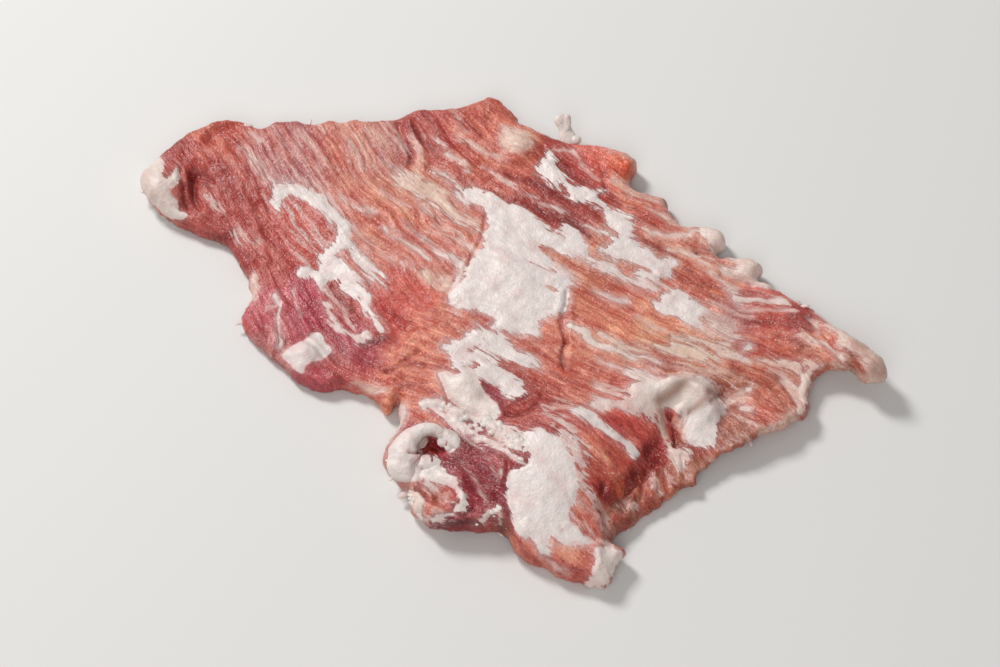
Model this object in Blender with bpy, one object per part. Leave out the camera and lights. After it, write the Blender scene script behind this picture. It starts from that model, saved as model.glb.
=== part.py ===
"""Raw pork flank steak lying on its underside, as one closed solid.

X runs along the longest side, Y away from the viewer and +Z up. The origin is under the
middle of the steak, on the surface that it rests on. Plan sizes and heights below are in
millimetres, and the mesh is made in metres.
"""

import math

import bpy
import numpy as np
from mathutils import Vector
from mathutils.geometry import delaunay_2d_cdt

MM = 0.001

LENGTH = 263.0  # left tip to hooked tip, along X
WIDTH = 206.4  # far corner to near tip, along Y
SLAB_THICKNESS = 7.0  # lean meat away from every fold and rim
LEAST_THICKNESS = 2.2

EDGE_STEP = 3.3  # spacing of points round the outline
TOP_STEP = 4.4  # spacing of points on the upper side
FINE_STEP = 2.3  # the same where the form is small
UNDERSIDE_STEP = 8.5
TOP_EDGE_RADIUS = 3.4
UNDERSIDE_EDGE_RADIUS = 2.0
EDGE_HEIGHT_SHARE = 0.42  # where the outline runs, as a share of the thickness
EDGE_HEIGHT_LIMIT = 6.0  # a thicker edge counts as this thick there
RAGGED_SWING = 0.45  # how far the torn edge wanders in and out
RAGGED_LENGTH = 6.0  # length of one such swing along the edge
SWELL_HEIGHT = 0.7  # soft undulation of the upper side
SWELL_LENGTHS = (9.5, 8.2, 21.0, 17.0)  # millimetres per radian of its four waves
FLAT_BELOW = 0.35  # lifts smaller than this stay on the table

# Turning points of the outline, read round the steak and named by stretch.
OUTLINE = {
    "left lobe, fat cap": [(-127, 55.2), (-131.4, 62.8), (-130.1, 69.9), (-122.5, 80)],
    "left lobe, far side": [(-113.5, 89.2), (-106, 93.4), (-94.7, 93), (-90.3, 91)],
    "far edge": [(-80.3, 94.4), (-70.6, 93.2), (-56.6, 94.4), (-41, 95.1), (-32.9, 98.8)],
    "far corner": [(-15.9, 100.4), (-4.7, 104.4), (2, 100.6), (9, 92), (23.3, 84)],
    "far right step": [
        (35, 82.4),
        (44.5, 77),
        (48.9, 73.2),
        (46.8, 67),
        (47.6, 62.6),
        (53.4, 60),
        (59.4, 56.6),
        (59.6, 53),
    ],
    "first lobe": [(64.8, 45.4), (70, 44.6), (75.6, 43), (79.8, 39), (79.4, 35), (76.4, 32.2)],
    "second lobe": [(82, 30), (88, 28.8), (91.6, 25), (89.9, 21)],
    "hook, outer side": [(100.2, 14.4), (110.7, 5.2), (119.3, -4.9), (126.9, -13.5)],
    "hook, tip": [(131.4, -21.3), (129.7, -24.6), (123.4, -26)],
    "hook, inner side": [(117.8, -20.5), (110.3, -19.3), (105.5, -23.8), (104, -29.4)],
    "right skirt": [
        (103.9, -33.8),
        (98.9, -39.8),
        (86, -46.6),
        (77, -51),
        (71.8, -54.2),
        (68, -58.6),
        (64.6, -61.6),
    ],
    "near skirt": [(58, -66.2), (54.4, -69.2), (50.4, -72.8), (46, -75.4), (41.2, -79.2)],
    "near tip": [
        (35, -84.6),
        (38.9, -90.6),
        (36.8, -95.3),
        (33.4, -101.8),
        (27.5, -101.6),
        (15, -95.9),
        (6.6, -91.6),
        (-0.6, -83),
    ],
    "folded end": [(-10.9, -81.4), (-22.2, -81), (-28.2, -76.8), (-32.6, -66.4)],
    "curl": [(-36.6, -60.4), (-39.8, -54.5), (-35.4, -38.7), (-35.6, -31)],
    "notch": [(-39.2, -34.8), (-43.6, -28.6), (-53, -24.8), (-66, -24)],
    "thin sheet": [(-74.8, -17), (-91.4, 4.2), (-88.4, 12.5), (-89.4, 20), (-91.6, 25)],
    "left lobe, near side": [(-98, 36.4), (-107, 41.6), (-119.3, 48.4)],
}

# Hills add a soft rise: centre, reach along and across, turn in degrees, and height.
THICKNESS_HILLS = {
    "left lobe": ((-110, 68), (22, 20), 0, 1.6),
    "thin left sheet": ((-70, 5), (38, 22), -50, -2.8),
    "thin right skirt": ((66, -50), (42, 16), 35, -3.4),
    "edge of the right skirt": ((76, -55), (34, 8), 31, -2.6),
    "edge of the near skirt": ((46, -76), (12, 6), 40, -2.0),
    "right side": ((85, 5), (40, 26), -30, -1.0),
    "centre slab": ((6, 21), (27, 22), -30, 2.0),
    "orange bulge": ((37, -4.6), (17, 11), -15, 2.6),
    "near plateau": ((22, -52), (26, 26), -20, 2.2),
    "white patch": ((14, -68), (12, 19), 10, 1.4),
    "far bulge": ((40, 75), (15, 7), -25, 1.6),
}

LIFT_HILLS = {
    "left tip": ((-130, 58), (13, 10), 0, 3.6),
    "near left end": ((-20, -84), (24, 9), 0, 3.4),
    "near tip": ((42, -93), (10, 9), 0, 3.6),
    "right skirt": ((84, -50), (30, 12), 26, 6.2),
    "hook": ((126, -22), (23, 13), -40, 7.4),
    "first lobe": ((80, 36), (9, 8), 0, 1.4),
    "second lobe": ((92, 24), (9, 8), 0, 1.4),
    "far right step": ((50, 72), (10, 9), 0, 1.8),
    "far corner": ((-4, 102), (12, 8), 0, 1.6),
}

RELIEF_HILLS = {
    "left fat cap": ((-122.7, 59.5), (9, 10), 0, 2.6),
    "dimple": ((-107.6, 65), (6, 4), -30, -2.2),
    "fat nub": ((-68, -12.5), (4.4, 5.2), 30, 3.6),
    "fat bump": ((-13, -27.5), (7, 6), -50, 3.0),
    "creamy knob": ((6.3, 79.4), (6.5, 6), 0, 3.4),
    "curl pocket": ((-22.5, -50.5), (3.6, 4.2), 0, -3.6),
    "hollow of the folded end": ((-20.8, -71), (6.5, 5), 0, -2.2),
    "fold pocket": ((58.4, -32.6), (4.6, 3.4), 30, -2.6),
    "fold apron": ((49, -31.5), (12, 8), 0, 4.2),
    "fold apron, right": ((63, -31), (6, 5), 0, 2.0),
    "hollow beside the fold": ((75, -29.5), (5, 4.5), 0, -2.4),
    "first lobe rim": ((74.7, 38.3), (6, 4.5), -30, 0.7),
    "second lobe rim": ((86.7, 25), (6, 4.5), -30, 0.7),
}

# Ridges follow a path: half width, height and the path. A negative height is a crease.
RIDGES = {
    "fold": (4.4, 4.6, [(58, -28.4), (63.5, -27.4), (68.8, -30), (70, -34)]),
    "brow of the fold": (2.6, 1.5, [(66.5, -31.5), (62, -35), (58.5, -38.5)]),
    "fold flap": (4.4, 2.0, [(69, -36.5), (66, -42.5), (60.5, -48)]),
    "slit under the fold": (2.4, -2.6, [(56, -37), (57.7, -43), (59.5, -49)]),
    "cleft": (2.0, -1.8, [(19.9, 9.7), (20.5, -1.8), (18.9, -11.5), (21.2, -21.4)]),
    "left pit": (3.0, -2.6, [(-111.8, 64.8), (-112.1, 53.3)]),
    "hook rim": (5.0, 1.6, [(104, 3), (113, -4.5), (119.2, -11), (126, -18.5)]),
    "rim of the folded end": (
        3.0,
        2.6,
        [(-29, -67.5), (-25, -71), (-24.5, -76), (-20, -77.5), (-14, -73.5), (-14, -66)],
    ),
    "small roll": (2.4, 1.8, [(-1, -36.8), (5.1, -34.4), (10.9, -31.5)]),
    "left seam of fat": (4.0, 0.9, [(-83.5, 59.4), (-69.4, 52.5), (-58, 37.6), (-42, -1.7)]),
}

# Steps are higher on the left of their path: width of the slope, height, the middle and
# reach of the hill that fades the rise, and the path.
PLATEAU_EDGE = [
    (34.6, -98),
    (33.2, -86),
    (32, -76.6),
    (35.7, -70.4),
    (45.4, -57.7),
    (52.7, -42),
    (55, -26),
]
MAIN_SLAB_EDGE = [
    (-6, 52),
    (-10.9, 27.6),
    (-18.6, 16.7),
    (-31.9, -4.4),
    (-37.5, -13.6),
    (-40, -24.8),
    (-36, -40),
]
STEPS = {
    "near plateau": (4.2, 6.2, ((18, -62), (34, 34)), PLATEAU_EDGE),
    "main slab over the thin sheet": (5.0, 2.6, ((-24, -12), (26, 36)), MAIN_SLAB_EDGE),
}

# Where the upper side is worked finely: centre and radius.
FINE_AREAS = {
    "fold": ((60, -36), 19),
    "curl and folded end": ((-24, -62), 21),
    "hook": ((119, -12), 17),
    "fat nub": ((-68, -12.5), 8),
    "left cap": ((-111, 62), 11),
    "plateau edge": ((40, -66), 13),
    "neck of the near tip": ((33, -86), 11),
}

# Rolls lie on the slab or stand at its edge: the path with its heights, and the radii.
FAT_CURL = (
    [
        (-17.0, -50.2, 10.2),
        (-20.2, -46.6, 9.8),
        (-24.6, -45.2, 9.0),
        (-29.4, -47.4, 8.2),
        (-32.6, -52.2, 7.6),
        (-33.6, -57.8, 7.2),
        (-30.6, -62.4, 7.2),
        (-25.6, -61.6, 7.4),
        (-20.6, -61.4, 7.2),
    ],
    [3.3, 3.3, 3.7, 4.2, 4.4, 4.4, 4.3, 4.0, 3.4],
)
FAT_TAG = (
    [(27.0, 79.6, 5.0), (25.2, 82.6, 7.0), (22.8, 85.6, 8.2), (21.6, 88.0, 9.2), (21.2, 90.2, 10.2)],
    [2.6, 3.2, 2.4, 2.1, 2.6],
)
ROLL_SIDES = 10
ROLL_STEP = 2.6
LEAST_ROLL_STATIONS = 6
DOME_ANGLES = (25, 60)  # degrees round each domed end
DOME_TIP = 0.45  # the last point of a dome stands this share of its last radius out

CURVE_SAMPLES = 16  # between two turning points
ROW_CLEARANCE = 0.8  # rows nearer to another stretch of the outline than this share are left out
GRID_CLEARANCE = 0.55  # the grid keeps this share of its step from the last row
MEAT_COLOUR = (0.52, 0.21, 0.17, 1)


def smooth_closed_curve(points, step):
    """Centripetal Catmull-Rom curve through the points, sampled evenly."""
    points = np.asarray(points, float)
    dense = []
    count = len(points)
    for i in range(count):
        corners = points[[i - 1, i, (i + 1) % count, (i + 2) % count]]
        knots = np.zeros(4)
        for k in range(3):
            knots[k + 1] = knots[k] + math.sqrt(np.linalg.norm(corners[k + 1] - corners[k]))
        for t in np.linspace(knots[1], knots[2], CURVE_SAMPLES, endpoint=False):
            dense.append(catmull_rom_point(corners, knots, t))
    return resample(np.array(dense), step)


def catmull_rom_point(corners, knots, t):
    """Barry and Goldman's pyramid of blends between four corners."""
    level = list(corners)
    for spans in (((0, 1), (1, 2), (2, 3)), ((0, 2), (1, 3)), ((1, 2),)):
        level = [
            a + (b - a) * (t - knots[low]) / (knots[high] - knots[low])
            for (low, high), a, b in zip(spans, level, level[1:])
        ]
    return level[0]


def resample(closed, step):
    """The same closed line with its points about one step apart."""
    ring = np.vstack([closed, closed[:1]])
    travelled = np.concatenate([[0], np.cumsum(np.linalg.norm(np.diff(ring, axis=0), axis=1))])
    count = round(travelled[-1] / step)
    at = np.arange(count) * travelled[-1] / count
    return np.column_stack([np.interp(at, travelled, ring[:, k]) for k in (0, 1)])


def outward_normals(ring):
    """Unit normals of a line that runs clockwise, pointing to its left, the outside."""
    ahead = np.roll(ring, -1, axis=0) - np.roll(ring, 1, axis=0)
    ahead /= np.linalg.norm(ahead, axis=1)[:, None]
    return np.column_stack([-ahead[:, 1], ahead[:, 0]])


def steak_outline():
    """The outline at its full size, with its torn edge."""
    turning_points = [point for stretch in OUTLINE.values() for point in stretch]
    ring = smooth_closed_curve(turning_points, EDGE_STEP)
    rng = np.random.default_rng(11)
    reach = max(1, round(RAGGED_LENGTH / EDGE_STEP))
    wander = np.convolve(rng.normal(size=len(ring) + reach - 1), np.ones(reach), "valid")
    ring = ring + outward_normals(ring) * (RAGGED_SWING * wander / wander.std())[:, None]
    return ring * (np.array([LENGTH, WIDTH]) / np.ptp(ring, axis=0))


def edge_distance(points, ring):
    """Signed distance of each point to the outline, positive inside."""
    nearest = np.full(len(points), np.inf)
    inside = np.zeros(len(points), bool)
    for start, end in zip(ring, np.roll(ring, -1, axis=0)):
        nearest = np.minimum(nearest, segment_distance(points, start, end)[0])
        crosses = (start[1] > points[:, 1]) != (end[1] > points[:, 1])
        slope = (end[0] - start[0]) / ((end[1] - start[1]) or 1e-12)
        inside ^= crosses & (points[:, 0] < start[0] + (points[:, 1] - start[1]) * slope)
    return np.where(inside, nearest, -nearest)


def segment_distance(points, start, end):
    """Distance to a straight segment, and which side of it each point is on."""
    along = end - start
    share = np.clip((points - start) @ along / (along @ along), 0, 1)
    offset = points - start - share[:, None] * along
    side = np.sign(along[0] * offset[:, 1] - along[1] * offset[:, 0])
    return np.linalg.norm(offset, axis=1), side


def path_distance(points, path):
    """Distance to a path, and which side of it each point is on: 1 on its left."""
    path = np.asarray(path, float)
    nearest = np.full(len(points), np.inf)
    side = np.zeros(len(points))
    for start, end in zip(path[:-1], path[1:]):
        distance, this_side = segment_distance(points, start, end)
        closer = distance < nearest
        nearest = np.where(closer, distance, nearest)
        side = np.where(closer, this_side, side)
    return nearest, side


def smooth_step(value):
    value = np.clip(value, 0, 1)
    return value * value * (3 - 2 * value)


def hills(points, named):
    """Sum of soft elliptical rises: height * exp(-(along^2 + across^2))."""
    total = np.zeros(len(points))
    for centre, reach, turn, height in named.values():
        angle = math.radians(turn)
        x, y = (points - centre).T
        along = (x * math.cos(angle) + y * math.sin(angle)) / reach[0]
        across = (y * math.cos(angle) - x * math.sin(angle)) / reach[1]
        total += height * np.exp(-(along**2) - across**2)
    return total


def ridges(points):
    """Sum of ridges: height * exp(-(distance / half width)^2)."""
    total = np.zeros(len(points))
    for half_width, height, path in RIDGES.values():
        distance, _ = path_distance(points, path)
        total += height * np.exp(-((distance / half_width) ** 2))
    return total


def steps(points):
    """Sum of steps, which rise across their path under a hill that fades them."""
    total = np.zeros(len(points))
    for slope_width, height, (centre, reach), path in STEPS.values():
        distance, side = path_distance(points, path)
        rise = smooth_step(distance * side / slope_width + 0.5)
        x, y = ((points - centre) / reach).T
        total += height * rise * np.exp(-(x**2) - y**2)
    return total


def undulation(points):
    """Half a wavering chequer of bumps and hollows and half a slanting wave."""
    x, y = points.T
    along, across, waver, slant = SWELL_LENGTHS
    chequer = np.sin(x / along + 1.3 * np.sin(y / waver)) * np.sin(y / across + 0.9)
    return SWELL_HEIGHT * (chequer + np.sin((x + 1.7 * y) / slant)) / 2


def heights(points, edge):
    """Heights of the upper side and the underside at these points of the plan."""
    lift = np.maximum(hills(points, LIFT_HILLS) - FLAT_BELOW, 0)
    thickness = SLAB_THICKNESS + hills(points, THICKNESS_HILLS)
    relief = hills(points, RELIEF_HILLS) + ridges(points) + steps(points) + undulation(points)
    top = lift + np.maximum(thickness + relief, LEAST_THICKNESS)
    middle = lift + EDGE_HEIGHT_SHARE * np.minimum(top - lift, EDGE_HEIGHT_LIMIT)
    top_share = round_edge(edge, TOP_EDGE_RADIUS)
    underside_share = round_edge(edge, UNDERSIDE_EDGE_RADIUS)
    return middle + (top - middle) * top_share, middle + (lift - middle) * underside_share


def round_edge(edge, radius):
    """Quarter circle: 0 on the outline, and 1 from one radius inwards."""
    return np.sqrt(1 - (1 - np.clip(edge / radius, 0, 1)) ** 2)


def triangular_grid(low, high, step):
    """Points of an even triangular grid over a box."""
    row_gap = step * math.sqrt(3) / 2
    return np.array([
        (x + (step / 2 if row % 2 else 0), low[1] + row * row_gap)
        for row in range(int((high[1] - low[1]) / row_gap) + 1)
        for x in np.arange(low[0], high[0], step)
    ])


def in_fine_area(points):
    """True where a point lies in one of the finely worked areas."""
    fine = np.zeros(len(points), bool)
    for centre, radius in FINE_AREAS.values():
        fine |= np.linalg.norm(points - centre, axis=1) < radius
    return fine


def inner_points(ring, offsets, step, fine_step=None):
    """Rows of points just inside the outline, then a triangular grid over the rest."""
    inward = -outward_normals(ring)
    rows = []
    for offset in offsets:
        row = ring + inward * offset
        rows.append(row[edge_distance(row, ring) > ROW_CLEARANCE * offset])
    low, high = ring.min(axis=0), ring.max(axis=0)
    coarse = triangular_grid(low, high, step)
    grids = [(coarse, step)]
    if fine_step:
        fine = triangular_grid(low, high, fine_step)
        grids = [(coarse[~in_fine_area(coarse)], step), (fine[in_fine_area(fine)], fine_step)]
    for grid, gap in grids:
        rows.append(grid[edge_distance(grid, ring) > offsets[-1] + GRID_CLEARANCE * gap])
    return np.vstack(rows)


def triangulate(ring, inner):
    """Delaunay triangles inside the outline, as indices into its points and the inner ones."""
    points = [Vector(point) for point in np.vstack([ring, inner])]
    border = list(range(len(ring)))
    edges = [(i, (i + 1) % len(ring)) for i in border]
    _, _, faces, sources, _, _ = delaunay_2d_cdt(points, edges, [border], 1, 1e-5)
    triangles = []
    for face in faces:
        a, b, c = (sources[i][0] for i in face)
        turn = (points[b] - points[a]).cross(points[c] - points[a])
        triangles.append((a, b, c) if turn > 0 else (a, c, b))
    return triangles


def slab_mesh():
    """The slab: an upper side and an underside that share the outline's points."""
    ring = steak_outline()
    upper = inner_points(ring, (0.7, 2.6), TOP_STEP, FINE_STEP)
    lower = inner_points(ring, (0.9,), UNDERSIDE_STEP)
    ring_heights = heights(ring, np.zeros(len(ring)))[0]
    upper_heights = heights(upper, edge_distance(upper, ring))[0]
    lower_heights = heights(lower, edge_distance(lower, ring))[1]
    plan = np.vstack([ring, upper, lower])
    height = np.concatenate([ring_heights, upper_heights, lower_heights]).round(3)
    vertices = np.column_stack([plan, height]) * MM  # rounded, so the resting face is flat

    faces = triangulate(ring, upper)
    shift = len(upper)
    for a, b, c in triangulate(ring, lower):
        a, b, c = (i if i < len(ring) else i + shift for i in (a, b, c))
        faces.append((a, c, b))
    return vertices, faces


def make_object(name, vertices, faces):
    mesh = bpy.data.meshes.new(name)
    mesh.from_pydata([tuple(vertex) for vertex in vertices], [], faces)
    mesh.validate()
    mesh.shade_smooth()
    made = bpy.data.objects.new(name, mesh)
    bpy.context.scene.collection.objects.link(made)
    return made


def dome(centre, direction, width, outwards):
    """Stations of a domed end, from the tube outwards: centre, direction and radius of each."""
    angles = [math.radians(angle) for angle in DOME_ANGLES]
    return [
        (centre + outwards * direction * width * math.sin(angle), direction, width * math.cos(angle))
        for angle in angles
    ]


def roll(name, path, radii):
    """A tube of changing radius along a smooth open path, with domed ends."""
    path = np.array(path, float)
    travelled = np.concatenate([[0], np.cumsum(np.linalg.norm(np.diff(path, axis=0), axis=1))])
    at = np.linspace(0, travelled[-1], max(LEAST_ROLL_STATIONS, round(travelled[-1] / ROLL_STEP)))
    centres = np.column_stack([np.interp(at, travelled, path[:, k]) for k in range(3)])
    for _ in range(2):
        centres[1:-1] = (centres[:-2] + 2 * centres[1:-1] + centres[2:]) / 4
    widths = np.interp(at, travelled, radii)

    ahead = np.gradient(centres, axis=0)
    ahead /= np.linalg.norm(ahead, axis=1)[:, None]
    stations = dome(centres[0], ahead[0], widths[0], -1)[::-1]
    stations += list(zip(centres, ahead, widths))
    stations += dome(centres[-1], ahead[-1], widths[-1], 1)
    vertices = []
    for centre, direction, width in stations:
        side = np.cross([0, 0, 1], direction)
        side /= np.linalg.norm(side)
        up = np.cross(direction, side)
        for k in range(ROLL_SIDES):
            angle = 2 * math.pi * k / ROLL_SIDES
            vertices.append((centre + width * (math.cos(angle) * side + math.sin(angle) * up)) * MM)

    faces = []
    for ring in range(len(stations) - 1):
        for k in range(ROLL_SIDES):
            a, b = ring * ROLL_SIDES + k, ring * ROLL_SIDES + (k + 1) % ROLL_SIDES
            faces.append((a, b, b + ROLL_SIDES, a + ROLL_SIDES))
    for tip, station, order in ((-1, 0, 1), (1, len(stations) - 1, -1)):
        centre, direction, width = stations[station]
        vertices.append((centre + tip * direction * width * DOME_TIP) * MM)
        for k in range(ROLL_SIDES):
            a, b = station * ROLL_SIDES + k, station * ROLL_SIDES + (k + 1) % ROLL_SIDES
            faces.append((len(vertices) - 1, b, a)[::order])
    return make_object(name, vertices, faces)


def raw_meat():
    material = bpy.data.materials.new("raw pork")
    material.use_nodes = True
    shader = material.node_tree.nodes["Principled BSDF"]
    shader.inputs["Base Color"].default_value = MEAT_COLOUR
    shader.inputs["Roughness"].default_value = 0.4
    return material


def fuse(body, pieces):
    """Joins the pieces to the body with one Boolean union, and applies it."""
    group = bpy.data.collections.new("fused")
    bpy.context.scene.collection.children.link(group)
    for piece in pieces:
        group.objects.link(piece)
        bpy.context.scene.collection.objects.unlink(piece)
    union = body.modifiers.new("union", "BOOLEAN")
    union.operation = "UNION"
    union.operand_type = "COLLECTION"
    union.collection = group
    union.solver = "EXACT"
    evaluated = body.evaluated_get(bpy.context.evaluated_depsgraph_get())
    joined = bpy.data.meshes.new_from_object(evaluated)
    body.modifiers.clear()
    body.data = joined
    for piece in pieces:
        bpy.data.objects.remove(piece)
    bpy.data.collections.remove(group)


def centre_over_origin(body):
    """Puts the middle of the plan over the origin and the lowest point on the table."""
    corners = np.array([vertex.co for vertex in body.data.vertices])
    low, high = corners.min(axis=0), corners.max(axis=0)
    shift = Vector((-(low[0] + high[0]) / 2, -(low[1] + high[1]) / 2, -low[2]))
    for vertex in body.data.vertices:
        vertex.co += shift


def main():
    for old in list(bpy.data.objects):
        bpy.data.objects.remove(old)
    steak = make_object("steak", *slab_mesh())
    fuse(steak, [roll("fat curl", *FAT_CURL), roll("fat tag", *FAT_TAG)])
    centre_over_origin(steak)
    steak.data.materials.clear()
    steak.data.materials.append(raw_meat())


main()
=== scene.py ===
import math

import bpy
import numpy as np
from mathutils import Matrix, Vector
from mathutils.geometry import delaunay_2d_cdt


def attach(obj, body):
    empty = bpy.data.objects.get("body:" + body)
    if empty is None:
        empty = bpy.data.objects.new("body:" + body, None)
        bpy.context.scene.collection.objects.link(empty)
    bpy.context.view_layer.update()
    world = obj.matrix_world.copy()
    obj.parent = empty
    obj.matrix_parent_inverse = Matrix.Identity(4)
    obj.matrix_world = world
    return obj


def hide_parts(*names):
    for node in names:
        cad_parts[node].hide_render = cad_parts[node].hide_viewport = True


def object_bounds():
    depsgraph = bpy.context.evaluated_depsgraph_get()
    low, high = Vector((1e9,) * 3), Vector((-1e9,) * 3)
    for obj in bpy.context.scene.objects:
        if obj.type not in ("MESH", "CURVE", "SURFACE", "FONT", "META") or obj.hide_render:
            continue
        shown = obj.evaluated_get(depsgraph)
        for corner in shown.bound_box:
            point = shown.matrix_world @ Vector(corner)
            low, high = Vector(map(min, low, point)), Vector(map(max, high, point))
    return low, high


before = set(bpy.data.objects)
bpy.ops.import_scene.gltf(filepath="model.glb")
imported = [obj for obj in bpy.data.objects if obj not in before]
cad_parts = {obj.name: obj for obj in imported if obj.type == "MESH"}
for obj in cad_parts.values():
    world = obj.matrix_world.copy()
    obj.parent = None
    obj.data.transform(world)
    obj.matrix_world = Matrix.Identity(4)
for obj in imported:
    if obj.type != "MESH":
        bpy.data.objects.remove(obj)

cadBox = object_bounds()
mm = 0.001

# The photograph's camera. Plan sizes in this script are millimetres on the table, x to the
# right and y away from the camera; pixels are those of the 1000 x 667 photograph.
photoView = {
    "width": 1000,
    "height": 667,
    "lens": 85.0,  # mm
    "sensor": 36.0,  # mm
    "elevation": 55.0,  # degrees that the camera looks down
    "frameWidth": 350.0,  # mm across the picture at the table
    "aim": (-1.0, 0.9),  # the table point in the picture's middle
}
mmPerPixel = photoView["frameWidth"] / photoView["width"]
cameraAway = photoView["frameWidth"] * photoView["lens"] / photoView["sensor"]  # mm from its aim
pixelsPerSlope = photoView["width"] * photoView["lens"] / photoView["sensor"]
sinDown, cosDown = (f(math.radians(photoView["elevation"])) for f in (math.sin, math.cos))


def photoPixels(x, y, z):
    # The photograph's pixel of each point: turn into the camera's axes, divide by the depth.
    dx = x - photoView["aim"][0]
    dy = y - photoView["aim"][1] + cameraAway * cosDown
    dz = z - cameraAway * sinDown
    depth = dy * cosDown - dz * sinDown
    up = dy * sinDown + dz * cosDown
    across = photoView["width"] / 2 + pixelsPerSlope * dx / depth
    return np.stack([across, photoView["height"] / 2 - pixelsPerSlope * up / depth], axis=-1)


def tablePoints(pixels, z):
    # The reverse: the point of height z that a pixel shows.
    slope = (photoView["height"] / 2 - pixels[:, 1]) / pixelsPerSlope
    dz = z - cameraAway * sinDown
    dy = -dz * (cosDown + slope * sinDown) / (sinDown - slope * cosDown)
    depth = dy * cosDown - dz * sinDown
    x = photoView["aim"][0] + (pixels[:, 0] - photoView["width"] / 2) / pixelsPerSlope * depth
    return np.column_stack([x, photoView["aim"][1] + dy - cameraAway * cosDown, z])


def smoothStep(low, high, value):
    # 0 below low, 1 above high, 3t^2 - 2t^3 between.
    t = np.clip((value - low) / (high - low), 0, 1)
    return t * t * (3 - 2 * t)


def valueNoise(x, y, seed):
    # Random numbers on a unit lattice, blended with a quintic fade; from -1 to 1.
    table = np.random.default_rng(seed).uniform(-1, 1, (256, 256))
    ix, iy = np.floor(x).astype(int), np.floor(y).astype(int)
    fx, fy = x - ix, y - iy
    fx, fy = fx**3 * (fx * (fx * 6 - 15) + 10), fy**3 * (fy * (fy * 6 - 15) + 10)
    a, b = table[ix & 255, iy & 255], table[(ix + 1) & 255, iy & 255]
    c, d = table[ix & 255, (iy + 1) & 255], table[(ix + 1) & 255, (iy + 1) & 255]
    return (a + (b - a) * fx) * (1 - fy) + (c + (d - c) * fx) * fy


def layeredNoise(x, y, seed, layers=3):
    # Each layer has twice the pitch and half the swing of the one before.
    total = sum(valueNoise(x * 2**k, y * 2**k, seed + k) / 2**k for k in range(layers))
    return total / (2 - 0.5 ** (layers - 1))


def closedCurve(points, step):
    # Closed centripetal Catmull-Rom curve through the points, sampled evenly.
    p1 = np.asarray(points, float)
    p0, p2, p3 = np.roll(p1, 1, 0), np.roll(p1, -1, 0), np.roll(p1, -2, 0)
    gap = lambda a, b: np.sqrt(np.linalg.norm(b - a, axis=1))[:, None, None]
    t1 = gap(p0, p1)
    t2 = t1 + gap(p1, p2)
    t3 = t2 + gap(p2, p3)
    t = t1 + (t2 - t1) * np.linspace(0, 1, 24, endpoint=False)[None, :, None]
    p0, p1, p2, p3 = (p[:, None, :] for p in (p0, p1, p2, p3))
    a1 = (t1 - t) / t1 * p0 + t / t1 * p1
    a2 = (t2 - t) / (t2 - t1) * p1 + (t - t1) / (t2 - t1) * p2
    a3 = (t3 - t) / (t3 - t2) * p2 + (t - t2) / (t3 - t2) * p3
    b1 = (t2 - t) / t2 * a1 + t / t2 * a2
    b2 = (t3 - t) / (t3 - t1) * a2 + (t - t1) / (t3 - t1) * a3
    dense = ((t2 - t) / (t2 - t1) * b1 + (t - t1) / (t2 - t1) * b2).reshape(-1, 2)
    ring = np.vstack([dense, dense[:1]])
    travelled = np.concatenate([[0], np.cumsum(np.linalg.norm(np.diff(ring, axis=0), axis=1))])
    at = np.linspace(0, travelled[-1], round(travelled[-1] / step), endpoint=False)
    return np.column_stack([np.interp(at, travelled, ring[:, k]) for k in (0, 1)])


def outwardNormals(ring):
    # The ring runs clockwise, so its outside is on its left.
    ahead = np.roll(ring, -1, 0) - np.roll(ring, 1, 0)
    ahead /= np.linalg.norm(ahead, axis=1)[:, None]
    return np.column_stack([-ahead[:, 1], ahead[:, 0]])


def segmentShare(points, start, end):
    # Distance to a straight segment, the share along it of the nearest point, and the side.
    along = np.subtract(end, start)
    share = np.clip((points - start) @ along / (along @ along), 0, 1)
    offset = points - start - share[:, None] * along
    side = np.sign(along[0] * offset[:, 1] - along[1] * offset[:, 0])
    return np.linalg.norm(offset, axis=1), share, side


def pathDistance(points, path):
    # Least distance to the segments of a path, and the side: 1 on its left.
    nearest, side = np.full(len(points), np.inf), np.zeros(len(points))
    for start, end in zip(path[:-1], path[1:]):
        distance, _, thisSide = segmentShare(points, np.array(start, float), np.array(end, float))
        closer = distance < nearest
        nearest, side = np.where(closer, distance, nearest), np.where(closer, thisSide, side)
    return nearest, side


def nearPath(points, path, halfWidth):
    # exp(-(distance / half width)^2): 1 on the path, 0 far from it.
    return np.exp(-((pathDistance(points, path)[0] / halfWidth) ** 2))


def edgeDistance(points, ring):
    # Distance to the closed ring, positive inside it, by the nearest segment and by crossings.
    order = np.argsort(points[:, 1])
    px, py = points[order, 0], points[order, 1]
    near, isIn = np.full(len(points), 60.0), np.zeros(len(points), bool)
    reach = 9.0  # farther in than this, the distance no longer matters
    for (x0, y0), (x1, y1) in zip(ring, np.roll(ring, -1, 0)):
        a, b = np.searchsorted(py, (min(y0, y1) - reach, max(y0, y1) + reach))
        dx, dy = x1 - x0, y1 - y0
        t = np.clip(((px[a:b] - x0) * dx + (py[a:b] - y0) * dy) / (dx * dx + dy * dy), 0, 1)
        near[a:b] = np.minimum(near[a:b], np.hypot(px[a:b] - x0 - t * dx, py[a:b] - y0 - t * dy))
        c, d = np.searchsorted(py, (min(y0, y1), max(y0, y1)))
        isIn[c:d] ^= px[c:d] < x0 + (py[c:d] - y0) * dx / (dy or 1e-12)
    signed = np.empty(len(points))
    signed[order] = np.where(isIn, near, -near)
    return signed


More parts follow.
